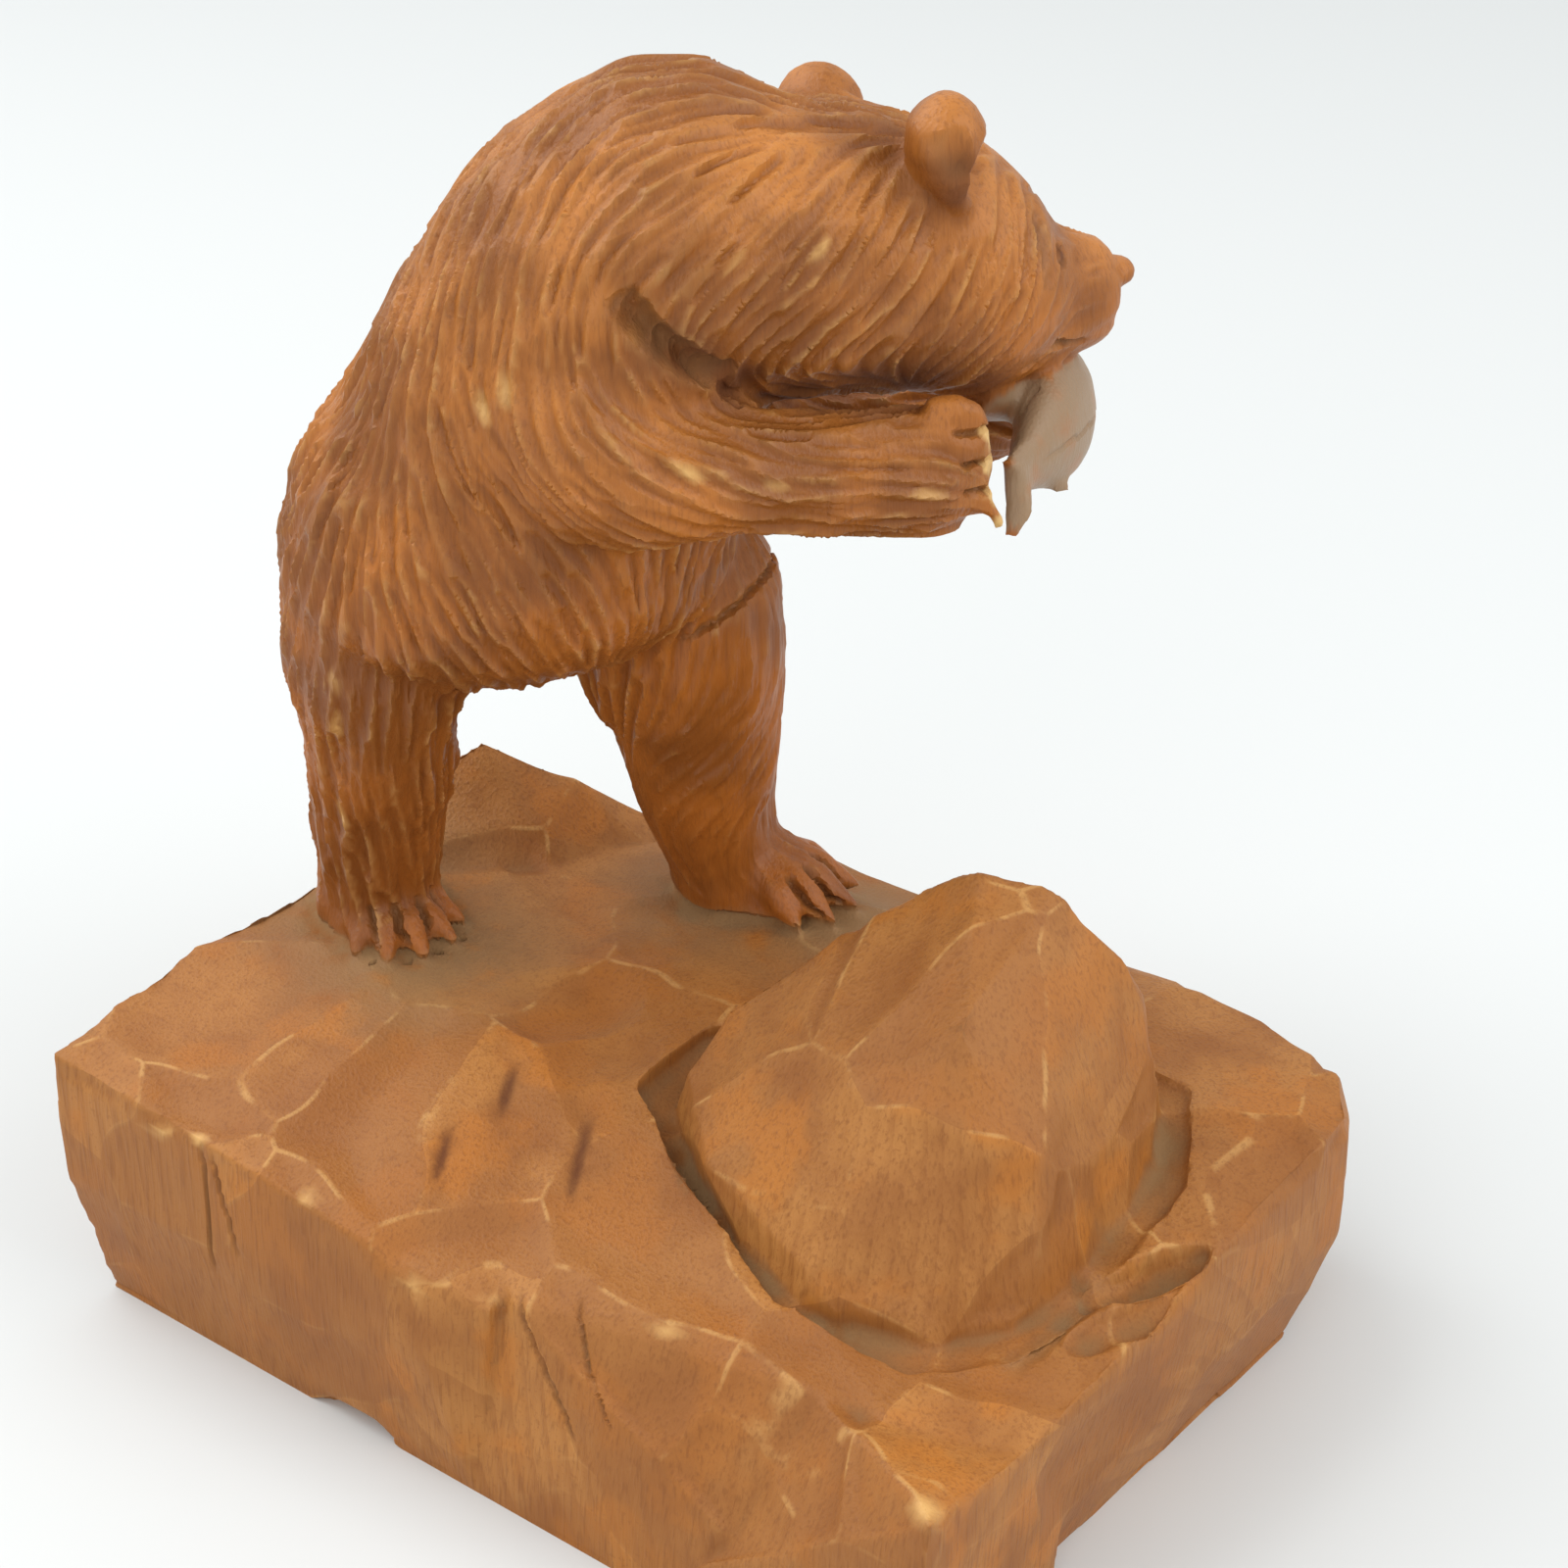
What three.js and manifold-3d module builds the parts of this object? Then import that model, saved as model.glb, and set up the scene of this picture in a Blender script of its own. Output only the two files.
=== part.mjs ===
// A carved wooden bear that stands upright on a faceted rock, turns to its left and bites a fish
// that it grips with both front paws. Bear, fish, boulder and rock are cut from one block of wood,
// so the whole work is one closed solid.
// Millimetres, +Z up. The origin is under the middle of the bounding box, on the ground.
// The long front side of the rock faces -Y, and the boulder stands towards +X.
import * as THREE from 'three';
import { ConvexGeometry } from 'three/addons/geometries/ConvexGeometry.js';
import { mergeVertices } from 'three/addons/utils/BufferGeometryUtils.js';
import Module from 'manifold-3d';

// Driving dimensions of the rock
const ROCK_LENGTH = 200;
const ROCK_WIDTH = 160;
const RIM_HEIGHT = 54;
const LEDGE_HEIGHT = 62;
const BOULDER_HEIGHT = 108;
const REAR_PEAK_HEIGHT = 79;

// Chisel marks on the rock
const GROOVE_WIDTH = 2.2;
const GROOVE_DEPTH = 2.4;
const GOUGE_LENGTH = 20;
const GOUGE_WIDTH = 5.5;
const GOUGE_DEPTH = 2;
const DISH_LENGTH = 34;
const DISH_WIDTH = 26;
const DISH_DEPTH = 3;
const CHIP_HEIGHT = 5;
const CHIP_LENGTH = 26;

// The bear: its height above the ledge and where it stands, in percent of the rock's length and width
const BEAR_HEIGHT = 175;
const FOOT_SINK = 2.5;
const STAND_ALONG = 25;
const STAND_ACROSS = 55;

// Carved details of the bear and of the fish that it bites
const LOCK_DEPTH = 1.3;
const INSTEP = [26, 22, 14];
const TOE_WIDTH = 6.8;
const TOES = 5;
const FINGER_WIDTH = 6;
const FINGERS = 4;
const CLAW_LENGTH = 5.5;
const CLAW_WIDTH = 3.6;
const EAR_HEIGHT = 21.5;
const EAR_WIDTH = 18;
const EAR_THICKNESS = 15;
const EAR_HOLLOW = 0.62;
const EYE_WIDTH = 4;
const EYE_SPACING = 17;
const BROW_LENGTH = 10.4;
const BROW_HEIGHT = 9.2;
const NOSE_WIDTH = 8.4;
const FIN_THICKNESS = 3.4;

// The ways that the head and the two feet face, in degrees from +X, and how far the ears turn out
const HEAD_FACING = 63;
const EAR_TURN = 28;
const NEAR_FOOT_FACING = -22;
const FAR_FOOT_FACING = 17;

// Colour and finish of the stained wood
const WOOD_COLOUR = 0x9a5a2c;
const WOOD_ROUGHNESS = 0.55;

// The figure's pose is drawn on a grid that is 175 units tall and scaled to BEAR_HEIGHT.
const FIGURE_GRID = 175;
const FIGURE_SCALE = BEAR_HEIGHT / FIGURE_GRID;

const wasm = await Module();
wasm.setup();

// Turns a closed three.js geometry into a solid.
function solidOf(geometry) {
  const bare = geometry.clone();
  bare.deleteAttribute('normal');
  bare.deleteAttribute('uv');
  const merged = mergeVertices(bare, 1e-4);
  return new wasm.Manifold(new wasm.Mesh({
    numProp: 3,
    vertProperties: new Float32Array(merged.attributes.position.array),
    triVerts: new Uint32Array(merged.index.array),
  }));
}

// Turns a solid back into a three.js geometry with flat faces.
function geometryOf(solid) {
  const mesh = solid.getMesh();
  const geometry = new THREE.BufferGeometry();
  geometry.setAttribute('position', new THREE.BufferAttribute(mesh.vertProperties, 3));
  geometry.setIndex(new THREE.BufferAttribute(mesh.triVerts, 1));
  const flat = geometry.toNonIndexed();
  flat.computeVertexNormals();
  return flat;
}

function joined(solids) {
  return solids.reduce((whole, piece) => whole.add(piece));
}

function radians(degrees) {
  return THREE.MathUtils.degToRad(degrees);
}

// Skins a row of egg-shaped rings. A station is [x, y, z, facing, side, front, back]: its centre,
// the way that it faces there in degrees from +X, and its three half sizes. The front size lies
// ahead on a row that runs upwards, behind on one that runs down and below on a level one, and
// the back size lies opposite.
// The relief gives the height of the carving at a place along the row and round the ring.
function loft(stations, { rings, segments, relief = () => 0 }) {
  const centres = new THREE.CatmullRomCurve3(
    stations.map(([x, y, z]) => new THREE.Vector3(x, y, z)));
  const sizes = new THREE.CatmullRomCurve3(
    stations.map(([, , , , side, front, back]) => new THREE.Vector3(side, front, back)));
  const positions = [];
  const steps = stations.length - 1;
  for (let i = 0; i <= rings; i++) {
    const t = i / rings;
    const centre = centres.getPoint(t);
    const tangent = centres.getTangent(t);
    const size = sizes.getPoint(t);
    const place = Math.min(t * steps, steps - 1e-6);
    const first = Math.floor(place);
    const facing = THREE.MathUtils.lerp(
      stations[first][3], stations[first + 1][3], place - first);
    const left = radians(facing + 90);
    const side = new THREE.Vector3(Math.cos(left), Math.sin(left), 0);
    side.addScaledVector(tangent, -side.dot(tangent)).normalize();
    const front = new THREE.Vector3().crossVectors(side, tangent);
    for (let j = 0; j < segments; j++) {
      const angle = (j / segments) * 2 * Math.PI;
      const across = Math.cos(angle);
      const along = Math.sin(angle);
      const raised = relief(t, angle);
      const point = centre.clone()
        .addScaledVector(side, across * (size.x + raised))
        .addScaledVector(front, along * ((along > 0 ? size.y : size.z) + raised));
      positions.push(point.x, point.y, point.z);
    }
  }
  for (const t of [0, 1]) {
    const pole = centres.getPoint(t);
    positions.push(pole.x, pole.y, pole.z);
  }
  const index = [];
  const startPole = (rings + 1) * segments;
  for (let j = 0; j < segments; j++) {
    const next = (j + 1) % segments;
    for (let i = 0; i < rings; i++) {
      const a = i * segments + j;
      const b = i * segments + next;
      index.push(a, a + segments, b, b, a + segments, b + segments);
    }
    const last = rings * segments;
    index.push(startPole, j, next, startPole + 1, last + next, last + j);
  }
  const geometry = new THREE.BufferGeometry();
  geometry.setAttribute('position', new THREE.Float32BufferAttribute(positions, 3));
  geometry.setIndex(index);
  return geometry;
}

// A solid limb or body from stations on the figure's grid.
function carved(stations, options) {
  const scaled = stations.map(([x, y, z, facing, ...sizes]) => [
    x * FIGURE_SCALE, y * FIGURE_SCALE, z * FIGURE_SCALE, facing,
    ...sizes.map((size) => size * FIGURE_SCALE)]);
  return solidOf(loft(scaled, options));
}

// A tapered rod through points on the figure's grid. Its widths are real sizes, one at each point.
function rod(points, widths, { rings, segments }) {
  const stations = points.map(([x, y, z], i) => [
    x * FIGURE_SCALE, y * FIGURE_SCALE, z * FIGURE_SCALE, 0,
    widths[i] / 2, widths[i] / 2, widths[i] / 2]);
  return solidOf(loft(stations, { rings, segments }));
}

// A stretched ball. Its place is on the figure's grid and its three widths are real sizes.
function ball([x, y, z], [length, width, height], facing, segments = 10) {
  const geometry = new THREE.SphereGeometry(0.5, segments, Math.round(segments * 0.7));
  geometry.scale(length, width, height);
  geometry.rotateZ(radians(facing));
  geometry.translate(x * FIGURE_SCALE, y * FIGURE_SCALE, z * FIGURE_SCALE);
  return solidOf(geometry);
}

// Fur in overlapping rows: each lock swells towards its tip and is parted by furrows from the
// locks beside it, and each row is offset from the one before.
function locks(rows, count, twist) {
  return (t, angle) => {
    const place = t * rows;
    const row = Math.floor(place);
    const swell = place - row - 0.5;
    const furrow = Math.abs(Math.cos(count * angle / 2 + row * Math.PI / 2 + twist * t));
    return LOCK_DEPTH * (0.5 * swell + furrow - 1);
  };
}

// Torso and neck, from between the legs up to the shoulder hump and down into the skull
function torso() {
  return carved([
    [-3, -8, 57.5, -10, 8, 8, 8],
    [-3.5, -8, 61.5, -10, 24, 23, 23],
    [-4, -7.5, 68, -10, 36, 33, 36],
    [-4, -7, 78, -10, 42, 38, 43],
    [-1.5, -6, 90, -5, 42, 40, 40.5],
    [4, -4, 105, 5, 39, 38.5, 35.8],
    [10.5, -2.5, 120, 15, 37.5, 35.5, 34.6],
    [18, 2, 135, 25, 36.5, 33, 33.5],
    [27, 8, 145, 35, 34, 31, 30.5],
    [35.5, 14.5, 145, 42, 30.5, 28, 24],
    [43, 22.5, 141.5, 48, 27, 27, 26],
    [50, 33, 137.5, 55, 24, 24, 25.5],
    [56, 41.5, 134, 60, 18, 18, 20],
  ], { rings: 33, segments: 36, relief: locks(8, 12, 4) });
}

// Skull and muzzle, with the brow, the stop below it and the blunt lip
function head() {
  return carved([
    [47.5, 30, 138.5, 60, 22, 25, 25],
    [53, 36.5, 136, 61, 23, 24, 25.5],
    [57, 43.5, 133, 62, 22, 22, 22.3],
    [60.8, 50.5, 129, 63, 19, 20, 17.8],
    [63.3, 55.2, 126.5, 63, 15.4, 17, 14.8],
    [65.2, 59, 124.6, 63, 11.6, 14, 14.2],
    [67.8, 64, 123.8, 63, 9.8, 9.6, 13.6],
    [69.6, 67.6, 123.6, 63, 8.6, 8.6, 12.3],
    [70.8, 70, 123.4, 63, 7, 7.6, 9.6],
    [71.3, 71.2, 123.2, 63, 4, 5, 5],
  ], { rings: 18, segments: 20 });
}

// Chin and lower jaw, open just wide enough for the fish
function lowerJaw() {
  return carved([
    [58, 46, 114, 63, 12, 9, 9],
    [61.5, 53, 110, 63, 9.5, 6.5, 6],
    [64, 58.5, 107.5, 63, 7.5, 4.5, 4],
    [65.5, 62, 106.5, 63, 4, 2.5, 2.5],
  ], { rings: 7, segments: 12 });
}

// An ear is a thick teardrop that leans forward at its foot. Each row gives how far forward, how
// high and how wide it is there, in shares of the ear's thickness, height and width.
function ear([x, y, z], facing) {
  const forward = radians(facing);
  const place = (ahead, up) => [
    x + Math.cos(forward) * ahead * EAR_THICKNESS, y + Math.sin(forward) * ahead * EAR_THICKNESS,
    z + up * EAR_HEIGHT];
  const rows = [[0.24, -0.5, 0.15], [0.17, -0.36, 0.44], [0.07, -0.12, 0.82], [0, 0.14, 1],
    [0, 0.36, 0.78], [0, 0.49, 0.28]];
  const shell = carved(rows.map(([ahead, up, share]) => [
    ...place(ahead, up), facing, EAR_WIDTH / 2 * share, EAR_THICKNESS / 2 * share,
    EAR_THICKNESS / 2 * share]), { rings: 7, segments: 10 });
  const hollow = ball(place(0.5, -0.1),
    [EAR_THICKNESS * 0.8, EAR_WIDTH * EAR_HOLLOW, EAR_HEIGHT * EAR_HOLLOW], facing, 8);
  return shell.subtract(hollow);
}

// Shoulder, elbow and forearm on the bear's right side, held level in front of the chest
function nearArm() {
  return carved([
    [12, -10, 138, 20, 13, 12, 12],
    [20, -18, 131, 20, 15, 15.5, 15.5],
    [29, -24.5, 120, 22, 14.5, 17.5, 16.5],
    [36.5, -23, 113.5, 35, 12.5, 15, 15],
    [43, -16.5, 112, 45, 12, 12.5, 13.5],
    [49, -9, 111.5, 50, 12, 11, 12],
    [57, 2, 109.5, 50, 12, 10.8, 12],
    [64, 11.5, 108, 50, 11.5, 11.5, 13],
    [70, 19.5, 107, 50, 11, 11.5, 13],
    [73.5, 25, 106, 50, 8.5, 10.5, 11.5],
    [75, 28, 105.5, 50, 5, 6, 7],
  ], { rings: 21, segments: 18, relief: locks(6, 7, 5) });
}

function farArm() {
  return carved([
    [8.5, 27.5, 127, 40, 14, 16, 16],
    [10, 39, 106.5, 40, 11, 14, 14],
    [13.5, 46.5, 93, 50, 10, 13, 13],
    [24, 56, 89, 60, 10, 11, 11],
    [37, 66.5, 90, 60, 10, 11, 11],
    [46, 73, 92, 60, 9, 10.5, 10.5],
    [52, 76, 93.5, 60, 6, 8, 8],
  ], { rings: 15, segments: 14, relief: locks(5, 6, 4) });
}

function nearLeg() {
  return carved([
    [-9, -21, 96, -30, 12, 12, 12],
    [-13.4, -26.8, 82, -30, 20.3, 19.5, 19],
    [-16, -28.6, 67, -30, 18.6, 19.5, 19],
    [-18.8, -27.4, 51.5, -30, 16, 17, 17],
    [-20.8, -25.5, 38, -30, 14.8, 15.5, 15],
    [-24.2, -24, 25, -30, 13.6, 14.5, 14],
    [-26.5, -22.5, 12.5, -30, 12.5, 14, 13],
    [-27.5, -22, 0, -30, 13, 15, 14],
  ], { rings: 14, segments: 18, relief: locks(5, 7, 2) });
}

function farLeg() {
  return carved([
    [13, 12, 88, 10, 12, 12, 12],
    [16.5, 16.5, 73, 10, 18.5, 22, 19.8],
    [17, 18, 60, 10, 19, 25.5, 20.6],
    [17.5, 20, 46, 10, 17.5, 21.5, 17.8],
    [18.2, 21.3, 35.5, 10, 16, 18, 15.8],
    [18.5, 22.8, 23, 10, 14.5, 15, 13.2],
    [20.5, 25.2, 11.5, 15, 12.5, 12.8, 11],
    [22.5, 27, 0, 20, 12.5, 12, 11],
  ], { rings: 12, segments: 16, relief: locks(4, 6, 2) });
}

// Toes and claws fanned out round a foot whose ankle stands at the given place
function toes([x, y], facing, spread, reach) {
  const fan = [];
  for (let i = 0; i < TOES; i++) {
    const middle = (TOES - 1) / 2;
    const turn = radians(facing + (i - middle) * spread);
    const outer = 1 - 0.04 * (i - middle) ** 2;
    const at = (share, z) => [
      x + Math.cos(turn) * reach * outer * share, y + Math.sin(turn) * reach * outer * share, z];
    const clawStart = 1 - CLAW_LENGTH / reach;
    fan.push(rod(
      [at(0.3, 11), at(clawStart - 0.12, 7.4), at(clawStart, 5), at(0.9, 3.8), at(1, 2.8)],
      [TOE_WIDTH * 1.3, TOE_WIDTH, TOE_WIDTH * 0.85, CLAW_WIDTH, CLAW_WIDTH * 0.35],
      { rings: 4, segments: 6 }));
  }
  return joined(fan);
}

// Fingers and claws, one below the other from the first knuckle to the last, that curl over the
// fish. Each is rooted inside the paw and its claw hangs down.
function fingers(first, last, facing) {
  const forward = radians(facing);
  const hand = [];
  for (let i = 0; i < FINGERS; i++) {
    const [x, y, z] = first.map((value, axis) => THREE.MathUtils.lerp(
      value, last[axis], i / (FINGERS - 1)));
    const at = (ahead, drop) => [
      x + Math.cos(forward) * ahead, y + Math.sin(forward) * ahead, z - drop];
    hand.push(rod(
      [at(-7, 0), at(-2, -0.3), at(1, 0.4), at(2.2, 2), at(2.2 + CLAW_LENGTH * 0.15, CLAW_LENGTH)],
      [FINGER_WIDTH, FINGER_WIDTH * 1.1, FINGER_WIDTH * 0.85, CLAW_WIDTH, CLAW_WIDTH * 0.6],
      { rings: 4, segments: 6 }));
  }
  return joined(hand);
}

// The fish lies across both paws with its tail at the near paw and its back in the bear's mouth
function fishBody() {
  return carved([
    [78.5, 32, 103.5, 153, 1.2, 6, 6],
    [77, 37.5, 103.5, 153, 2.4, 5.5, 5.5],
    [74.8, 45, 104, 153, 4.5, 8.5, 8.5],
    [72.3, 53, 104, 150, 6, 11, 12],
    [69.3, 61, 103, 145, 6.5, 11.5, 13],
    [64.5, 69, 101, 138, 6.5, 10.5, 11.5],
    [59, 76, 98, 132, 5.5, 8.5, 8.5],
    [54, 81, 96, 130, 3.5, 5.5, 5.5],
    [51, 83.5, 95, 130, 1, 2, 2],
  ], { rings: 14, segments: 12 });
}

// A flat fin: its corners are on the figure's grid and it stands as thick as FIN_THICKNESS
function fin(corners, facing) {
  const across = radians(facing);
  const shift = new THREE.Vector3(Math.cos(across), Math.sin(across), 0);
  const points = [];
  for (const [x, y, z] of corners) {
    const corner = new THREE.Vector3(x, y, z).multiplyScalar(FIGURE_SCALE);
    for (const direction of [-0.5, 0.5]) {
      points.push(corner.clone().addScaledVector(shift, direction * FIN_THICKNESS));
    }
  }
  return solidOf(new ConvexGeometry(points));
}

function fish() {
  return joined([
    fishBody(),
    fin([[78.5, 34, 104], [80.5, 29, 93], [81.5, 33, 97.5], [77.5, 38, 101]], 25),
    fin([[78.5, 34, 102], [78.5, 29, 109], [79.5, 31.5, 107], [77.5, 38, 105]], 25),
    fin([[74.5, 46, 99], [76.8, 52.5, 92.5], [73, 56, 98]], 60),
    fin([[64, 72, 94], [61, 74, 86.5], [60, 77, 93]], 45),
  ]);
}

// Nose and brow sit on the head's middle line, and the eyes to the right and left of it
function face() {
  const forward = radians(HEAD_FACING);
  const onHead = (along, across, z) => [
    58 + Math.cos(forward) * along + Math.sin(forward) * across,
    44.5 + Math.sin(forward) * along - Math.cos(forward) * across, z];
  const pieces = [
    ball(onHead(31.6, 0, 128), [NOSE_WIDTH * 0.9, NOSE_WIDTH, NOSE_WIDTH * 0.7], HEAD_FACING, 8),
    ball(onHead(7.5, 0, 144.5), [BROW_LENGTH, EYE_SPACING * 1.2, BROW_HEIGHT], HEAD_FACING, 10),
  ];
  const eye = [EYE_WIDTH, EYE_WIDTH, EYE_WIDTH];
  for (const across of [-EYE_SPACING / 2, EYE_SPACING / 2]) {
    pieces.push(ball(onHead(13.5, across, 137.5), eye, HEAD_FACING, 8));
  }
  return joined(pieces);
}

// Bear and fish, standing on z = 0 of the figure's grid
function figure() {
  return joined([
    torso(), head(), lowerJaw(), nearArm(), farArm(), nearLeg(), farLeg(),
    ear([66.7, 27.1, 161.2], HEAD_FACING - EAR_TURN),
    ear([31.8, 38.8, 156], HEAD_FACING + EAR_TURN),
    face(), fish(),
    ball([-23, -23.8, 3], INSTEP, NEAR_FOOT_FACING, 8),
    ball([29, 29, 3], INSTEP, FAR_FOOT_FACING, 8),
    toes([-27.5, -22], NEAR_FOOT_FACING, 20, 21.5), toes([22, 26.5], FAR_FOOT_FACING, 17, 25.5),
    fingers([75.8, 22.6, 119.3], [79.4, 22.8, 103.8], 40),
    fingers([55, 77.5, 99], [55, 77.5, 88], 20),
  ]);
}

// A point on the rock: percent of its length from the left end, percent of its width from the
// front, and the height.
function rockPoint([along, across, height]) {
  return new THREE.Vector3(
    (along / 100 - 0.5) * ROCK_LENGTH, (across / 100 - 0.5) * ROCK_WIDTH, height);
}

function hull(corners) {
  return solidOf(new ConvexGeometry(corners.map(rockPoint)));
}

// The block is undercut at the ground, widest at the girth and bevelled to the ledge. Its front
// draws back between a left and a right lobe.
function block() {
  const girth = RIM_HEIGHT * 0.5;
  const rim = RIM_HEIGHT;
  const ledge = LEDGE_HEIGHT;
  const core = hull([
    [45, 2.5, 0], [94, 2.5, 0], [96, 80, 0], [90, 96, 0], [8, 97, 0], [2, 80, 0], [3, 40, 0],
    [60, 3, girth * 0.5], [85, 3, girth * 0.5], [100, 82, girth], [92, 100, girth],
    [6, 100, girth], [1, 50, girth],
    [53, 6, rim * 0.79], [60, 9, rim * 0.83], [67.5, 11.3, rim * 0.85], [77.5, 14.4, rim * 0.85],
    [88, 14.4, rim * 0.84], [98.5, 20.6, rim * 0.78], [98.5, 38.8, rim * 0.83],
    [100, 57, rim * 0.82], [100, 62, rim * 0.96], [100, 82, rim], [96, 88, rim],
    [86, 92.5, rim], [73, 93, rim], [46, 90, rim], [32, 86, ledge * 0.97],
    [3, 42, ledge], [24, 32, ledge], [46, 36, ledge], [50, 76, ledge * 0.98],
  ]);
  const leftLobe = hull([
    [3, 2.5, 0], [50, 2.5, 0], [50, 40, 0], [3, 50, 0], [0, 0, girth], [46, 0.8, girth],
    [0, 0.5, rim], [18, 1, rim * 0.92], [28, 1.3, rim * 0.92], [36.5, 1.5, rim * 0.88],
    [45.5, 2.2, rim * 0.74], [51.5, 4.4, rim * 0.76], [29, 9, rim * 0.98],
    [1, 20, ledge * 0.97], [2, 30, ledge], [3, 42, ledge], [24, 32, ledge],
    [36.5, 21.3, ledge * 0.92], [44, 30, ledge * 0.97], [46, 36, ledge], [40, 50, ledge],
    [5, 60, ledge],
  ]);
  const rightLobe = hull([
    [72, 2.5, 0], [94, 2.5, 0], [97, 30, 0], [76, 2, girth * 0.5], [99, 1, girth],
    [99, 2.5, rim * 0.89], [95.5, 6, rim * 0.89], [91, 11, rim * 0.84],
    [98.5, 20.6, rim * 0.78], [96, 35, girth], [80, 14, rim * 0.82], [80, 30, girth],
  ]);
  return joined([core, leftLobe, rightLobe]);
}

function rearPeak() {
  return hull([
    [7, 66, REAR_PEAK_HEIGHT], [10, 69, REAR_PEAK_HEIGHT * 0.94],
    [16, 74, REAR_PEAK_HEIGHT * 0.84], [2, 50, LEDGE_HEIGHT * 1.12],
    [3, 34, RIM_HEIGHT], [1, 80, RIM_HEIGHT], [28, 84, RIM_HEIGHT], [24, 60, RIM_HEIGHT],
    [14, 45, RIM_HEIGHT],
  ]);
}

// Corners of the boulder's foot: along, across and the height of the rock there, each in percent
const BOULDER_FOOT = [
  [50, 34, 109], [58, 29, 98], [73, 21, 91], [86, 21.5, 88], [91, 29, 89], [93, 44, 95],
  [92, 60, 100], [86, 73, 105], [70, 72, 109], [58, 62, 109], [50, 46, 112]];

function boulder() {
  const top = BOULDER_HEIGHT;
  const foot = RIM_HEIGHT * 0.6;
  return hull([
    [73.5, 54.5, top], [79.5, 58, top * 0.98], [83.5, 60.5, top * 0.9], [86, 65, top * 0.78],
    [68, 54, top * 0.93], [59.5, 48, top * 0.79], [53, 42.5, top * 0.67],
    [70.5, 37.5, top * 0.75], [81.5, 37.5, top * 0.9], [85.5, 32.5, top * 0.72],
    [89.5, 38, top * 0.7], [52.5, 36, top * 0.59], [61, 27, top * 0.55], [75, 22, top * 0.5],
    ...BOULDER_FOOT.map(([along, across]) => [along, across, foot]),
  ]);
}

// The groove that parts the boulder from the rock: everything within its width of the
// boulder's foot, down to its depth. The boulder is put back afterwards.
function boulderGroove() {
  const middle = rockPoint([72, 45, 0]);
  const points = [];
  for (const [along, across, height] of BOULDER_FOOT) {
    const corner = rockPoint([along, across, height / 100 * RIM_HEIGHT]);
    const outward = new THREE.Vector3(corner.x - middle.x, corner.y - middle.y, 0).normalize();
    corner.addScaledVector(outward, GROOVE_WIDTH);
    points.push(corner.clone().setZ(corner.z - GROOVE_DEPTH));
    points.push(corner.clone().addScaledVector(outward, GROOVE_WIDTH).setZ(BOULDER_HEIGHT));
  }
  return solidOf(new ConvexGeometry(points));
}

// A shallow scoop into the rock's surface: [length, width, depth], turned about the vertical.
// The ball that cuts it has its middle above the surface, so that the scoop runs out flat.
function scoop([along, across, height], [length, width, depth], turn) {
  const lift = 2;
  const spread = 1 / Math.sqrt(1 - (lift / (lift + 1)) ** 2);
  const geometry = new THREE.SphereGeometry(0.5, 10, 8);
  geometry.scale(length * spread, width * spread, 2 * depth * (lift + 1));
  geometry.rotateZ(radians(turn));
  const { x, y, z } = rockPoint([along, across, height + lift * depth]);
  geometry.translate(x, y, z);
  return solidOf(geometry);
}

// A hollow in the ledge between the feet and the boulder, and two gouges side by side
function rockScoops() {
  const dish = [[36, 39, 50], [44, 33, 110]].map(([along, across, turn]) => scoop(
    [along, across, LEDGE_HEIGHT], [DISH_LENGTH, DISH_WIDTH, DISH_DEPTH], turn));
  const pair = [0, 1].map((i) => scoop(
    [97.5 - 1.5 * i, 40 + 7 * i, RIM_HEIGHT * 0.85], [GOUGE_WIDTH, GOUGE_LENGTH, GOUGE_DEPTH], -25));
  return joined([...dish, ...pair]);
}

// Chips knocked out of the lower edge at the front and at the right end
function edgeChips() {
  const cut = (along, across, length, width) => scoop(
    [along, across, -CHIP_HEIGHT * 4], [length, width, CHIP_HEIGHT], 0);
  return joined([
    cut(35, 1, CHIP_LENGTH, CHIP_LENGTH / 2),
    cut(95, 20, CHIP_LENGTH / 2, CHIP_LENGTH),
  ]);
}

function rock() {
  return joined([block(), rearPeak()])
    .subtract(boulderGroove()).add(boulder())
    .subtract(rockScoops()).subtract(edgeChips());
}

// The whole work, joined into one solid and centred on its bounding box
function carving() {
  const stand = rockPoint([STAND_ALONG, STAND_ACROSS, LEDGE_HEIGHT - FOOT_SINK]);
  const whole = rock().add(figure().translate([stand.x, stand.y, stand.z]));
  const box = whole.boundingBox();
  return whole.translate([
    -(box.min[0] + box.max[0]) / 2, -(box.min[1] + box.max[1]) / 2, -box.min[2]]);
}

const group = new THREE.Group();
const wood = new THREE.MeshStandardMaterial({
  color: WOOD_COLOUR, roughness: WOOD_ROUGHNESS, metalness: 0 });
const bear = new THREE.Mesh(geometryOf(carving()), wood);
bear.name = 'carved_bear';
group.add(bear);

export default group;
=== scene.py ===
"""A carved wooden bear that stands on a faceted rock and bites a fish, dressed for rendering.

The piece keeps the solid's form. It adds the gouged fur, the scalloped rock, knife cuts, the worn
staining, and painted shade in hollows and creases and a painted highlight on the bear's upper
tops. Lengths inside the carving classes are millimetres; Blender's meshes are metres.
"""
import logging
import math
from dataclasses import dataclass, field
from enum import Enum

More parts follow.
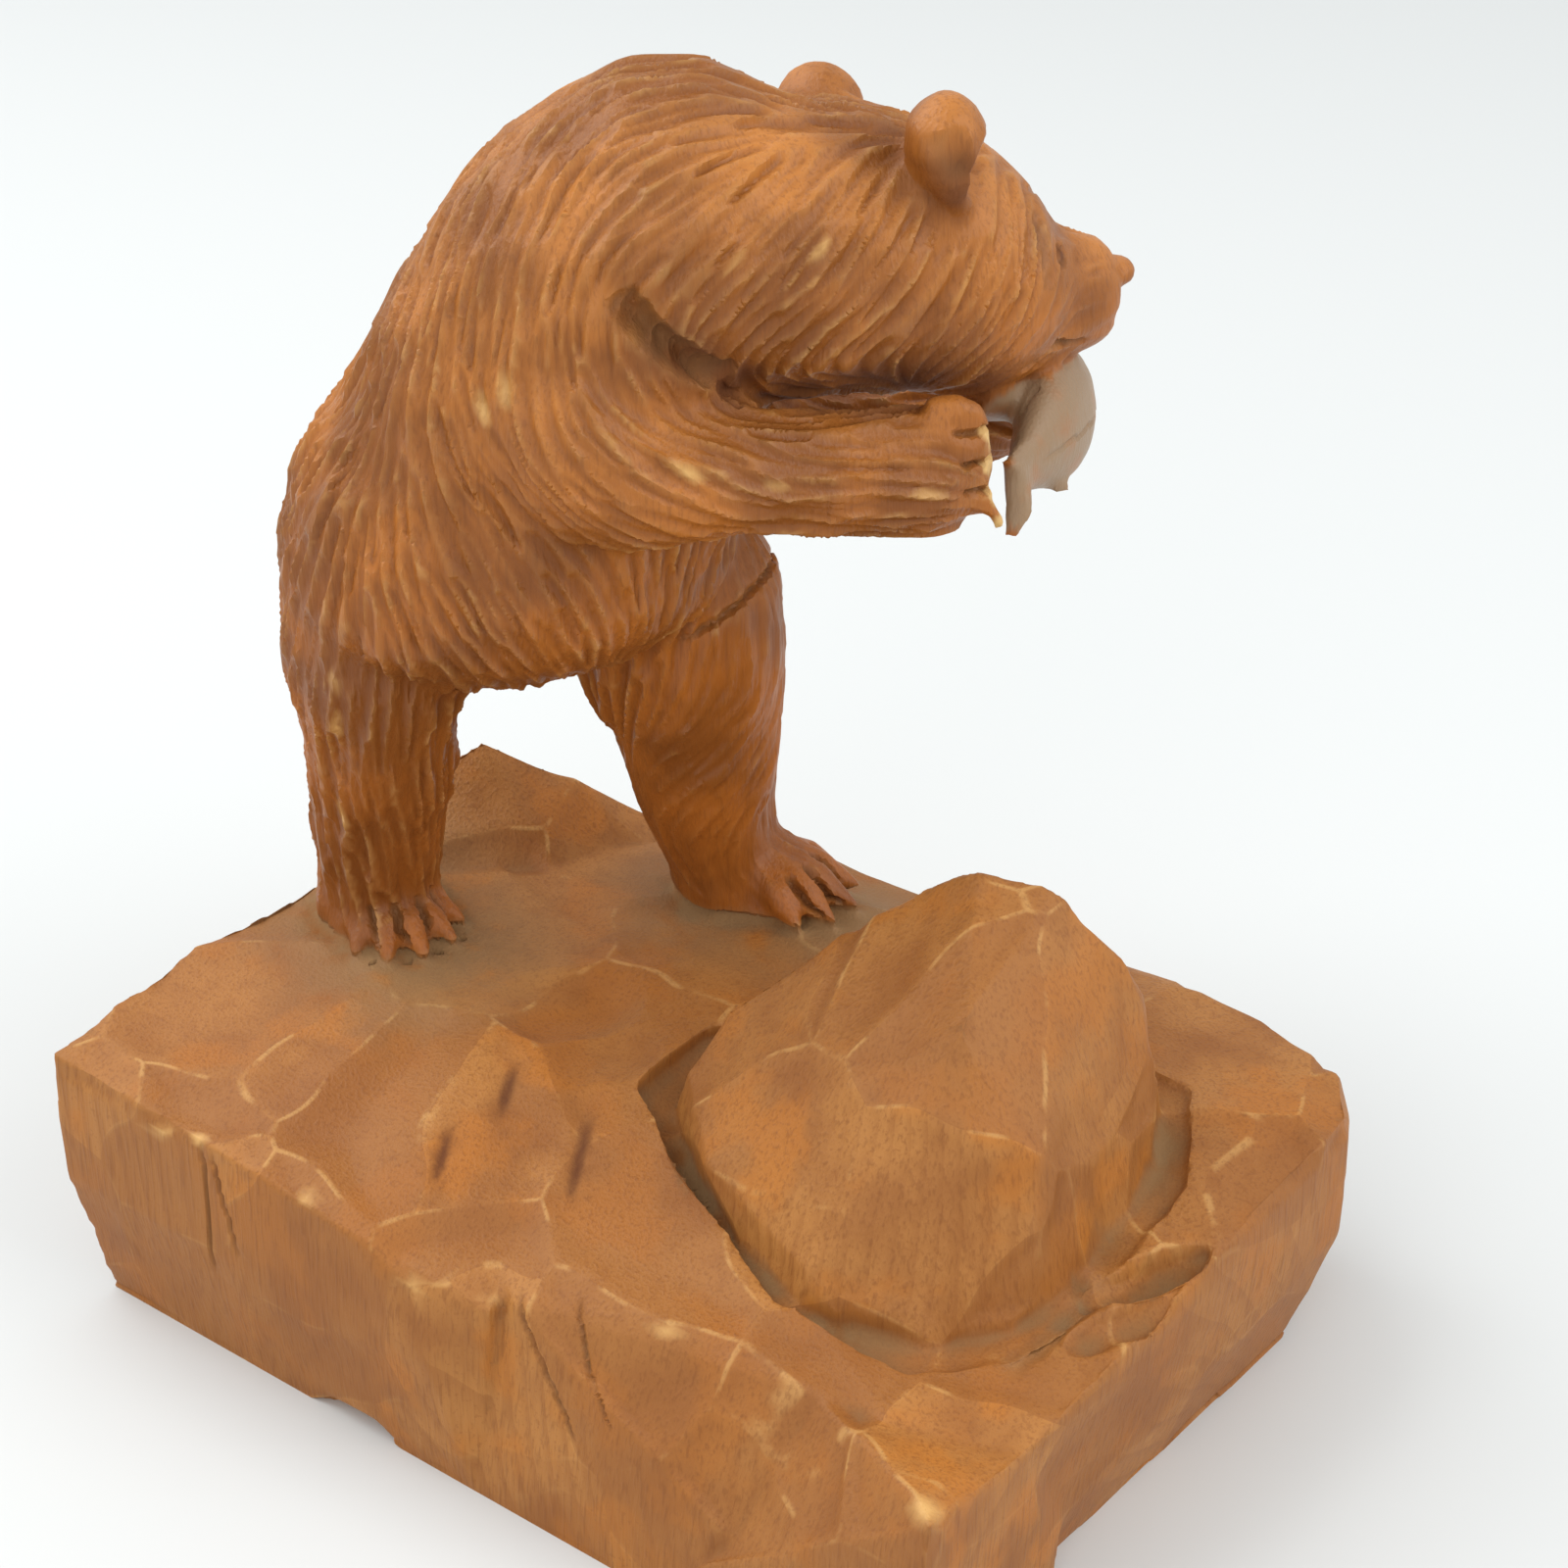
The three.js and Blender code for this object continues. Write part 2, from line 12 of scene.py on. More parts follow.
import bpy
import numpy as np
from mathutils.kdtree import KDTree
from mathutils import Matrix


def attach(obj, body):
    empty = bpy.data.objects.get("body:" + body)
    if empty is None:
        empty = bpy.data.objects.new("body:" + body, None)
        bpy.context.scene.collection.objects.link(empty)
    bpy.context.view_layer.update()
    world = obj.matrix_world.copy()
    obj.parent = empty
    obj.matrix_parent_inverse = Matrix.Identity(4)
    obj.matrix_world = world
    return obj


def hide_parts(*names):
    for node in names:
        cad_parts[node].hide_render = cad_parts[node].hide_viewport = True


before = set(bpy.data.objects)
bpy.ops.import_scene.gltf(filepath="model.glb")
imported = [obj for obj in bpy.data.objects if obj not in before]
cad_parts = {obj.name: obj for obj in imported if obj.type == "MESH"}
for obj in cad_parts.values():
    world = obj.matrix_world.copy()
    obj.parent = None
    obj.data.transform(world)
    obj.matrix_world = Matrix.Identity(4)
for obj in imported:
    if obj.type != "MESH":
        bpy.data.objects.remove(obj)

# A colour, a place or a turn, and a node's input or output
Triple = tuple[float, float, float]
Socket = bpy.types.NodeSocket

LOG = logging.getLogger("carved_bear")
MM = 1000.0
SEED = 20811

# Where the figure's own grid stands in the frame, in millimetres
FIGURE_ORIGIN = np.array([-50.0, 1.82, 59.5])
LEDGE = 62.0
# The height below which the sawn underside stays as it is
UNDERSIDE_RIM = 0.6


class Part(Enum):
    """The parts of the figure that are finished in their own way."""

    TORSO = "torso"
    NECK = "neck"
    HEAD = "head"
    MUZZLE = "muzzle"
    EAR = "ear"
    NEAR_ARM = "near_arm"
    FAR_ARM = "far_arm"
    NEAR_LEG = "near_leg"
    FAR_LEG = "far_leg"
    FOOT = "foot"
    PAW = "paw"
    FISH = "fish"


# Each part's share of the full gouge depth, and how far its facets are rounded before carving
FINISH: dict[Part, tuple[float, float]] = {
    Part.TORSO: (1.0, 1.0), Part.NECK: (1.0, 1.0), Part.HEAD: (0.5, 0.3),
    Part.MUZZLE: (0.25, 0.1), Part.EAR: (0.22, 0.14), Part.NEAR_ARM: (0.85, 0.9),
    Part.FAR_ARM: (0.85, 0.8), Part.NEAR_LEG: (0.9, 0.85), Part.FAR_LEG: (0.5, 0.7),
    Part.FOOT: (0.1, 0.12), Part.PAW: (0.0, 0.14), Part.FISH: (0.0, 0.3)}

# Bones of the figure on its own grid: part, start, radius there, end, radius there. The fur
# runs from the start to the end.
BONES: list[tuple[Part, tuple, float, tuple, float]] = [
    (Part.TORSO, (-1.5, -6, 90), 41, (-4, -7, 60), 32),
    (Part.TORSO, (10.5, -2.5, 120), 36, (-1.5, -6, 90), 41),
    (Part.TORSO, (18, 2, 135), 35, (10.5, -2.5, 120), 36),
    (Part.NECK, (27, 8, 145), 31, (18, 2, 135), 35),
    (Part.NECK, (43, 22.5, 141.5), 27, (27, 8, 145), 31),
    (Part.NECK, (53, 36.5, 136), 24, (43, 22.5, 141.5), 27),
    (Part.HEAD, (62, 53, 128), 17, (53, 36.5, 136), 24),
    (Part.MUZZLE, (71, 70.5, 123.4), 8, (63.5, 56, 126), 14.5),
    (Part.EAR, (66.7, 27.1, 168), 8, (69.6, 29.2, 150.5), 6),
    (Part.EAR, (31.8, 38.8, 163), 8, (31.7, 42.4, 145.3), 6),
    (Part.NEAR_ARM, (12, -10, 138), 13, (29, -24.5, 120), 17),
    (Part.NEAR_ARM, (29, -24.5, 120), 17, (43, -16.5, 112), 13),
    (Part.NEAR_ARM, (43, -16.5, 112), 13, (73.5, 25, 106), 11),
    (Part.FAR_ARM, (8.5, 27.5, 127), 15, (13.5, 46.5, 93), 13),
    (Part.FAR_ARM, (13.5, 46.5, 93), 13, (52, 76, 93.5), 9),
    (Part.NEAR_LEG, (-12.5, -26, 82), 19, (-18.3, -27, 51.5), 17),
    (Part.NEAR_LEG, (-18.3, -27, 51.5), 17, (-26.5, -22.5, 14), 14),
    (Part.FAR_LEG, (16.5, 16.5, 72), 21, (17.5, 20, 46), 18),
    (Part.FAR_LEG, (17.5, 20, 46), 18, (20.5, 25.2, 14), 14),
    (Part.FOOT, (-27.5, -22, 3), 13, (-9, -29.5, 1), 6),
    (Part.FOOT, (21, 26, 3), 13, (45, 33.5, 1), 6),
    (Part.FISH, (78.5, 32, 103.5), 6, (72.3, 53, 104), 11),
    (Part.FISH, (72.3, 53, 104), 11, (64.5, 69, 101), 11),
    (Part.FISH, (64.5, 69, 101), 11, (51, 83.5, 95), 4),
]

# The fingers on the figure's grid: the first knuckle, the last one and the way that they face
NEAR_HAND = ((75.8, 22.6, 119.3), (79.4, 22.8, 103.8), 40)
FAR_HAND = ((55, 77.5, 99), (55, 77.5, 88), 20)
FINGERS = 4
ROOT_BEHIND = 2.0
CLAW_AHEAD = 3.0
CLAW_DROP = 4.2
FINGER_RADII = (4.6, 3.2)

# Listed fur directions: a place on the surface and the way the fur runs there
FUR_GUIDES: list[tuple[float, ...]] = [
    (-28, 0, 232, -0.47, -0.87, -0.18), (-14, -9, 227, -0.58, -0.79, -0.23),
    (-28, -18, 222, 0.14, -0.78, -0.61), (-8, -15, 218, -0.54, -0.74, -0.39),
    (-38, -25, 212, 0.12, -0.63, -0.76), (-27, -27, 210, -0.06, -0.54, -0.84),
    (-55, -29, 193, 0.13, -0.62, -0.78), (-44, -33, 195, 0.22, -0.45, -0.87),
    (-35, -34, 195, -0.03, -0.33, -0.94), (-26, -33, 193, 0.03, -0.28, -0.96),
    (-19, -30, 195, 0.12, -0.25, -0.96), (-13, -26, 198, 0.22, 0.07, -0.97),
    (-5, -19, 189, 0.38, 0.77, -0.51), (-65, -33, 174, -0.60, -0.19, -0.78),
    (-52, -38, 175, -0.16, -0.29, -0.94), (-32, -38, 175, 0.54, 0.11, -0.83),
    (-24, -36, 180, 0.81, -0.02, -0.59), (-7, -28, 183, 0.69, 0.48, -0.54),
    (-69, -37, 165, -0.55, -0.14, -0.82), (-3, -13, 216, -0.28, -0.79, -0.54),
    (1, 6, 222, 0.09, -0.95, -0.30), (12, 13, 215, 0.03, -0.85, -0.53),
    (4, -7, 210, -0.27, -0.63, -0.73), (11, 2, 204, -0.39, -0.57, -0.72),
    (17, 15, 206, -0.02, -0.64, -0.77), (16, 13, 196, -0.48, -0.66, -0.58),
    (-4, -18, 204, -0.36, -0.51, -0.78), (1, -10, 197, -0.54, -0.42, -0.73),
    (22, 27, 190, -0.51, -0.39, -0.77), (-1, -17, 182, 0.72, 0.55, -0.43),
    (10, 13, 179, 0.51, 0.86, -0.07), (19, 4, 174, 0.57, 0.82, -0.09),
    (17, -1, 167, 0.55, 0.81, -0.19), (2, -20, 175, 0.59, 0.64, -0.48),
    (25, 33, 200, 0.07, -0.38, -0.92), (16, 20, 210, 0.02, -0.74, -0.67),
    (-68, -43, 155, -0.42, -0.06, -0.91), (-58, -44, 156, -0.36, -0.14, -0.92),
    (-47, -44, 158, 0.29, -0.22, -0.93), (-37, -40, 161, 0.57, 0.03, -0.82),
    (-29, -37, 159, 0.43, 0.14, -0.89), (-22, -31, 158, 0.41, 0.39, -0.83),
    (-33, -40, 147, 0.46, 0.34, -0.82), (-21, -29, 144, -0.02, 0.54, -0.84),
    (-15, -20, 145, -0.25, 0.48, -0.84), (-12, -3, 144, -0.24, -0.27, -0.93),
    (-72, -41, 128, -0.28, 0.21, -0.94), (-64, -42, 125, -0.20, 0.18, -0.96),
    (-57, -42, 125, -0.31, 0.19, -0.93), (-53, -38, 121, -0.34, 0.22, -0.92),
    (-73, -37, 93, -0.12, 0.18, -0.98), (-63, -36, 93, -0.19, 0.25, -0.95),
    (-65, -35, 89, 0.11, 0.35, -0.93), (-21, 13, 97, -0.46, -0.61, -0.65),
    (-16, 7, 232, -0.72, -0.67, 0.20), (-7, 24, 226, -0.92, -0.35, 0.15),
]

# Spots where the stain is knocked off: a place in the frame and how far the spot reaches
FUR_SPOTS: list[tuple[float, ...]] = [
    (-26, -34, 189, 1.7), (-30, -35, 185, 1.5), (3, -9, 210, 1.6), (10, 4, 210, 1.4),
    (5, -7, 207, 1.2), (1, -20, 177, 1.7), (11, -9, 173, 1.4), (27, 13, 168, 1.6),
    (-61, -43, 128, 1.5), (-63, -42, 117, 1.6), (-69, -37, 94, 1.6), (-45, -30, 200, 1.3),
]
ROCK_SPOTS: list[tuple[float, ...]] = [
    (-70, -85, 48, 2.6), (-62.6, -84.4, 51, 2.4), (-37, -83, 49, 2.6), (-12, -83, 40, 2.6),
    (2, -77, 42, 2.2), (33, -69, 46, 2.6), (95, -79, 48, 4.0), (96, -80, 40, 3.0),
]

# Dark stains and painted shade: a place in the frame, how far it reaches, how dark it is and how
# many times further it reaches up and along the streaks than across them. The three that are drawn
# out are the ledge's dark streaks, and the three of reach 1.1 and 1.5 are the dark eyes of the
# bear and the fish; the rest is painted shade in the ears' hollows, along the crease above the
# near arm and under the jaw between the neck, the near arm and the fish.
DARK_SPOTS: list[tuple[float, ...]] = [
    (-22.3, -63.0, 53.5, 1.3, 0.85, 5.0), (-21.6, -46.3, 58.6, 1.3, 0.85, 5.0),
    (-1.7, -49.7, 54.2, 1.3, 0.85, 7.0), (22.5, 24.5, 220.0, 5.0, 0.50, 1.0),
    (22.5, 25.6, 216.0, 4.5, 0.55, 1.0), (-18.3, 48.1, 213.4, 5.5, 0.45, 1.0),
    (-9.1, -22.3, 202.2, 3.5, 0.45, 1.0), (-4.4, -18.0, 196.5, 4.5, 0.60, 1.0),
    (-3.0, -12.0, 192.0, 5.0, 0.62, 1.0), (-4.0, -2.0, 186.0, 6.0, 0.62, 1.0),
    (1.5, 10.6, 180.3, 7.0, 0.60, 1.0),
    (24.6, 53.6, 197.6, 1.5, 0.9, 1.0), (3.9, 64.6, 197.6, 1.5, 0.9, 1.0),
    (8.5, 85.0, 157.5, 1.1, 0.9, 1.0),
    (9.1, 17, 182, 7.0, 0.62, 1.0), (15, 26, 180.5, 7.0, 0.66, 1.0),
    (19, 40, 176, 6.0, 0.55, 1.0),
]
STREAK_WAY = np.array([0.450, -0.893, 0.0])


@dataclass(frozen=True)
class KnifeCut:
    """One cut along a line on the surface, in millimetres."""

    path: tuple[Triple, ...]
    width: float
    depth: float


# Cuts that stand alone: slips of the knife on the front, the mouth, two lines under the belly, the
# hollow of the near ear, the fold where the fish leaves the mouth, the long gouge at the ledge's
# end, the hollow above the near arm, the side of the brow, the fish's gill and side line, the
# eyelids, and the dents under the ledge's dark streaks
CUTS: list[KnifeCut] = [
    KnifeCut(((-61.3, -84.5, 50.7), (-60.6, -85.1, 21.3)), 1.5, 0.9),
    KnifeCut(((-59.0, -83.0, 49.5), (-53.4, -85.5, 28.5)), 1.3, 0.7),
    KnifeCut(((5.5, -74.2, 43.8), (14, -79, 33), (22.5, -80, 21.7)), 1.6, 1.0),
    KnifeCut(((15.1, -69.8, 45.7), (23, -78, 36), (30, -79.1, 27.4)), 1.3, 0.7),
    KnifeCut(((21.8, 45.7, 176.7), (25, 52.2, 180.8), (25.7, 61.2, 178.5)), 2.2, 1.6),
    KnifeCut(((-25.7, 31.4, 133.5), (-22.5, 18, 131), (-23.3, 5.5, 127.8)), 1.8, 1.1),
    KnifeCut(((-21.8, 31.4, 135.5), (-19.0, 18, 133), (-20.3, 6.5, 129.8)), 1.5, 0.8),
    KnifeCut(((20.6, 22.9, 227.6), (22.5, 22.7, 223.5), (22.6, 25.6, 217.7)), 8.0, 1.4),
    KnifeCut(((23.2, 49.5, 178.1), (21.8, 49.5, 172.5), (24, 46.5, 168.2)), 1.6, 0.7),
    KnifeCut(((84.8, -44.0, 46.4), (86.6, -30.9, 48.0), (86.5, -14.3, 48.9)), 6.0, 1.3),
    KnifeCut(((-11.5, -22.5, 206.5), (-9.0, -22.2, 203.6), (-6.4, -20.8, 200.2),
              (-4.2, -17.5, 196.0), (-1.6, -13.0, 191.8), (-0.6, -5.0, 187.0)), 6.4, 5.0),
    KnifeCut(((18.4, 51.6, 209.0), (23.4, 48.0, 205.1), (26.3, 47.1, 199.9),
              (27.8, 45.3, 193.8)), 3.6, 0.7),
    KnifeCut(((11.5, 81.3, 163.2), (14.5, 82, 157.5), (11.5, 81.3, 151.8)), 1.7, 0.9),
    KnifeCut(((33.5, 42, 163.5), (32.5, 58.8, 163.5), (23.3, 77.4, 160.5)), 1.3, 0.5),
    KnifeCut(((26.2, 50.5, 197), (24.6, 53.0, 199.3), (23.9, 55.8, 197.4)), 1.5, 0.8),
    KnifeCut(((26.2, 50.5, 197), (25.3, 53.6, 196.0), (23.9, 55.8, 197.4)), 1.5, 0.8),
    KnifeCut(((0.3, 63.9, 197), (3.6, 64.3, 199.4), (6.8, 65.6, 197.3)), 1.5, 0.8),
    KnifeCut(((0.3, 63.9, 197), (3.5, 65.1, 195.9), (6.8, 65.6, 197.3)), 1.5, 0.8),
    KnifeCut(((-24.8, -58.1, 55.4), (-22.3, -63.0, 53.5), (-19.8, -67.9, 51.6)), 3.0, 0.45),
    KnifeCut(((-24.1, -41.4, 60.2), (-21.6, -46.3, 58.6), (-19.1, -51.2, 57.0)), 3.0, 0.45),
    KnifeCut(((-5.3, -42.6, 56.9), (-1.7, -49.7, 54.2), (1.9, -56.8, 51.5)), 3.0, 0.45),
]

# The toes on the figure's grid: the ankle, the way that the foot faces, the angle from one toe to
# the next, and how far they reach
NEAR_TOES = ((-27.5, -22), -22, 20, 21.5)
FAR_TOES = ((22, 26.5), 17, 17, 25.5)
TOES = 5
# Places on the feet, on the figure's grid, round which dirt has gathered
FEET = ((-27, -22, 2), (22, 26, 2), (-12, -28, 2), (40, 32, 2))

# A toe's cut by its share of the reach and its height, and a finger's by how far ahead of the
# knuckles and how far outward it runs, each with its width and depth
TOE_CUT_PATH = ((0.55, 11.0), (0.75, 7.0), (0.96, 3.0))
TOE_CUT = (1.9, 1.9)
FINGER_CUT_PATH = ((-4.0, 3.0), (0.0, 3.0), (3.0, 2.5), (4.8, 0.0), (3.5, -2.5))
FINGER_CUT = (1.5, 1.3)


def on_frame(point: Triple) -> np.ndarray:
    """Moves a point of the figure's grid into the frame, in millimetres."""
    return np.asarray(point, float) + FIGURE_ORIGIN


def hand_bones(first: tuple, last: tuple, facing: float) -> list[tuple]:
    """Gives one bone to each finger, from its root to the middle of its claw.

    Args:
        first: The first knuckle on the figure's grid.
        last: The last knuckle.
        facing: The way that the fingers point, in degrees from +X.

    Returns:
        The bones, in the form of the figure's other bones.
    """
    ahead = np.array([math.cos(math.radians(facing)), math.sin(math.radians(facing)), 0.0])
    bones = []
    for i in range(FINGERS):
        knuckle = np.asarray(first) + (np.asarray(last) - np.asarray(first)) * i / (FINGERS - 1)
        claw = knuckle + CLAW_AHEAD * ahead - np.array([0.0, 0.0, CLAW_DROP])
        root = knuckle - ROOT_BEHIND * ahead
        bones.append((Part.PAW, tuple(root), FINGER_RADII[0], tuple(claw), FINGER_RADII[1]))
    return bones


def toe_cuts(ankle: tuple[float, float], facing: float, spread: float,
             reach: float) -> list[KnifeCut]:
    """Gives the cuts that part the toes of a foot, from its instep down to the rock."""
    cuts = []
    for i in range(TOES - 1):
        turn = math.radians(facing + (i + 1 - (TOES - 1) / 2 - 0.5) * spread)
        path = [on_frame((ankle[0] + math.cos(turn) * reach * share,
                          ankle[1] + math.sin(turn) * reach * share, height))
                for share, height in TOE_CUT_PATH]
        cuts.append(KnifeCut(tuple(tuple(point) for point in path), *TOE_CUT))
    return cuts


def finger_cuts(first: tuple, last: tuple, facing: float) -> list[KnifeCut]:
    """Gives the cuts that part the fingers of a hand, from its outer side round their tips."""
    turn = math.radians(facing)
    ahead = np.array([math.cos(turn), math.sin(turn), 0.0])
    outward = np.array([math.sin(turn), -math.cos(turn), 0.0])
    cuts = []
    for i in range(FINGERS - 1):
        middle = np.asarray(first) + (np.asarray(last) - np.asarray(first)) * (
            (i + 0.5) / (FINGERS - 1))
        path = [on_frame(middle + along * ahead + aside * outward)
                for along, aside in FINGER_CUT_PATH]
        cuts.append(KnifeCut(tuple(tuple(point) for point in path), *FINGER_CUT))
    return cuts


def unit(vectors: np.ndarray) -> np.ndarray:
    """Scales each row to length one."""
    return vectors / np.maximum(np.linalg.norm(vectors, axis=-1, keepdims=True), 1e-9)


def segment_distance(points: np.ndarray, start: np.ndarray,
                     end: np.ndarray) -> tuple[np.ndarray, np.ndarray]:
    """Measures how far points lie from a segment.

    Args:
        points: The points, one a row.
        start: The segment's start.
        end: The segment's end.

    Returns:
        The distances, and each point's share of the way along the segment.
    """
    along = end - start
    share = np.clip((points - start) @ along / max(float(along @ along), 1e-9), 0.0, 1.0)
    nearest = start + share[:, None] * along
    return np.linalg.norm(points - nearest, axis=1), share


@dataclass
class Surface:
    """A closed quad mesh as arrays, with its positions in millimetres."""

    points: np.ndarray
    quads: np.ndarray
    edges: np.ndarray
    normals: np.ndarray = field(init=False)

    def __post_init__(self) -> None:
        """Works out the normals and each point's count of neighbours."""
        count = len(self.points)
        self.valence = np.bincount(self.edges.ravel(), minlength=count).astype(float)
        self.refresh()

    def refresh(self) -> None:
        """Works out the normals again after the points have moved."""
        p = self.points[self.quads]
        face = np.cross(p[:, 2] - p[:, 0], p[:, 3] - p[:, 1])
        total = np.zeros_like(self.points)
        for axis in range(3):
            total[:, axis] = np.bincount(
                self.quads.ravel(), weights=np.repeat(face[:, axis], 4),
                minlength=len(self.points))
        self.normals = unit(total)

    def spread(self, values: np.ndarray) -> np.ndarray:
        """Gives each point the mean of its neighbours' values."""
        a, b = self.edges.T
        table = values.reshape(len(self.points), -1)
        result = np.empty_like(table)
        for column in range(table.shape[1]):
            v = table[:, column]
            result[:, column] = (
                np.bincount(a, weights=v[b], minlength=len(v))
                + np.bincount(b, weights=v[a], minlength=len(v))) / self.valence
        return result.reshape(values.shape)

    def relax(self, weight: np.ndarray, steps: int) -> None:
        """Rounds the surface.

        Args:
            weight: How strongly each point follows its neighbours, from 0 to 1.
            steps: How many times the points move.
        """
        for _ in range(steps):
            self.points += 0.5 * weight[:, None] * (self.spread(self.points) - self.points)
        self.refresh()

    def soften(self, values: np.ndarray, steps: int) -> np.ndarray:
        """Blurs values over the surface in so many steps."""
        for _ in range(steps):
            values = 0.5 * values + 0.5 * self.spread(values)
        return values


@dataclass
class Anatomy:
    """Tells which part of the figure, or the rock, each point of the surface belongs to."""

    reach: float = 6.0
    foot_reach: float = 4.0
    above_ledge: float = 0.9
    blend: float = 4.0
    nape_drop: float = 0.7
    fish_reach: float = 2.5
    fish_lead: float = 0.5
    guide_reach: float = 13.0
    bone_share: float = 0.12

    def read(self, surface: Surface) -> None:
        """Finds each point's nearest bone, its part and the way that its fur runs."""
        points = surface.points
        best = np.full(len(points), 1e9)
        self.bone = np.zeros(len(points), int)
        flow = np.zeros_like(points)
        fish = np.full(len(points), 1e9)
        total = np.zeros(len(points))
        bones = BONES + hand_bones(*NEAR_HAND) + hand_bones(*FAR_HAND)
        for i, (part, start, r0, end, r1) in enumerate(bones):
            a, b = on_frame(start), on_frame(end)
            distance, share = segment_distance(points, a, b)
            outside = distance - (r0 + (r1 - r0) * share)
            if part is Part.FISH:
                fish = np.minimum(fish, outside)
            closer = outside < best
            best[closer] = outside[closer]
            self.bone[closer] = i
            run = unit(b - a)
            if part in (Part.NECK, Part.HEAD):
                run = unit(run - np.array([0.0, 0.0, self.nape_drop]))
            pull = np.exp(-np.maximum(outside, 0.0) / self.blend)
            flow += pull[:, None] * run
            total += pull
        parts = [bone[0] for bone in bones]
        self.part_share, self.round_share = np.array([FINISH[p] for p in parts])[self.bone].T
        foot = np.array([p is Part.FOOT for p in parts])[self.bone]
        limit = np.where(foot, self.foot_reach, self.reach)
        self.figure = (best < limit) & (points[:, 2] > LEDGE + self.above_ledge)
        self.fish = self.figure & (fish < self.fish_reach) & (fish <= best + self.fish_lead)
        self.flow = self._guided(surface, flow / np.maximum(total, 1e-9)[:, None])

    def _guided(self, surface: Surface, flow: np.ndarray) -> np.ndarray:
        """Bends the bones' flow towards the listed directions."""
        guides = np.array(FUR_GUIDES)
        chosen = np.flatnonzero(self.figure)
        for part in np.array_split(chosen, max(1, len(chosen) // 20000)):
            gap = surface.points[part][:, None, :] - guides[None, :, :3]
            pull = np.exp(-(gap ** 2).sum(-1) / self.guide_reach ** 2)
            flow[part] = self.bone_share * unit(flow[part]) + pull @ guides[:, 3:]
        lean = (flow * surface.normals).sum(1, keepdims=True) * surface.normals
        return unit(flow - lean)


@dataclass
class FurGouging:
    """Fur cut lock by lock with a small gouge, each stroke along the flow of the coat."""

    spacing: float = 3.7
    length: tuple[float, float] = (13.0, 26.0)
    width: tuple[float, float] = (2.8, 4.1)
    depth: tuple[float, float] = (0.90, 1.50)
    step: float = 1.6
    wobble: float = 0.04
    taper: float = 0.6
    furred_from: float = 0.05
    every: int = 7
    share_blur: int = 10

    def starts(self, points: np.ndarray, chosen: np.ndarray,
               draw: np.random.Generator) -> list[int]:
        """Picks where the strokes begin, no two closer than the spacing."""
        taken: dict[tuple[int, int, int], list[np.ndarray]] = {}
        kept = []
        for index in draw.permutation(chosen):
            point = points[index]
            cell = tuple((point // self.spacing).astype(int))
            near = (other for dx in (-1, 0, 1) for dy in (-1, 0, 1) for dz in (-1, 0, 1)
                    for other in taken.get((cell[0] + dx, cell[1] + dy, cell[2] + dz), ()))
            if all(((other - point) ** 2).sum() > self.spacing ** 2 for other in near):
                taken.setdefault(cell, []).append(point)
                kept.append(int(index))
        return kept

    def trace(self, surface: Surface, tree: KDTree, flow: np.ndarray, start: int,
              length: float, wobble: float) -> np.ndarray:
        """Follows the flow over the surface from a starting point."""
        place = surface.points[start].copy()
        path = [place.copy()]
        for _ in range(int(length / self.step)):
            index = tree.find(place)[1]
            normal = surface.normals[index]
            ahead = flow[index] + wobble * np.cross(normal, flow[index])
            place = place + self.step * unit(ahead)
            index = tree.find(place)[1]
            normal = surface.normals[index]
            place -= ((place - surface.points[index]) @ normal) * normal
            path.append(place.copy())
        return np.array(path)

    def cut(self, surface: Surface, anatomy: Anatomy, tree: KDTree,
            draw: np.random.Generator) -> np.ndarray:
        """Cuts all the strokes.

        Args:
            surface: The surface to cut.
            anatomy: The parts of the surface.
            tree: The surface's points in a search tree.
            draw: The source of the strokes' variety.

        Returns:
            How deep the strokes cut at each point, in millimetres.
        """
        depth = np.zeros(len(surface.points))
        furred = np.flatnonzero(anatomy.figure & (anatomy.part_share > self.furred_from)
                                & ~anatomy.fish)
        starts = self.starts(surface.points, furred[::self.every], draw)
        for start in starts:
            length = draw.uniform(*self.length)
            width = draw.uniform(*self.width) / 2
            deep = draw.uniform(*self.depth)
            wobble = draw.normal(0.0, self.wobble)
            path = self.trace(surface, tree, anatomy.flow, start, length, wobble)
            gouge(surface, tree, path, width, deep, depth, self.taper)
        LOG.info("fur strokes: %d", len(starts))
        return depth * surface.soften(anatomy.part_share, self.share_blur)


# A stroke looks for points this far beyond its edge, its ends are as square as the second number
# says, and it leaves a surface alone that turns further from it than the third
STROKE_MARGIN = 0.9
END_SQUARENESS = 5
LEAST_FACING = -0.1


def gouge(surface: Surface, tree: KDTree, path: np.ndarray, half_width: float, deep: float,
          depth: np.ndarray, taper: float) -> None:
    """Deepens a field of depths by one stroke.

    Args:
        surface: The surface that is cut.
        tree: The surface's points in a search tree.
        path: The stroke's line, one point a row.
        half_width: Half the stroke's width.
        deep: Its depth in the middle.
        depth: The field of depths, which is changed.
        taper: How much narrower the stroke's end is, as a share.
    """
    found = set()
    for point in path:
        found.update(hit[1] for hit in tree.find_range(point, half_width + STROKE_MARGIN))
    if not found:
        return
    index = np.fromiter(found, int, len(found))
    points = surface.points[index]
    nearest = np.full(len(index), 1e9)
    place = np.zeros(len(index))
    for i in range(len(path) - 1):
        distance, share = segment_distance(points, path[i], path[i + 1])
        closer = distance < nearest
        nearest[closer] = distance[closer]
        place[closer] = (i + share[closer]) / (len(path) - 1)
    width = half_width * (1 - taper * place ** 2)
    ends = 1 - np.abs(2 * place - 1) ** END_SQUARENESS
    middle = surface.normals[tree.find(path[len(path) // 2])[1]]
    faces_it = surface.normals[index] @ middle > LEAST_FACING
    cut = deep * ends * np.clip(1 - (nearest / width) ** 2, 0.0, None) * faces_it
    depth[index] = np.maximum(depth[index], cut)


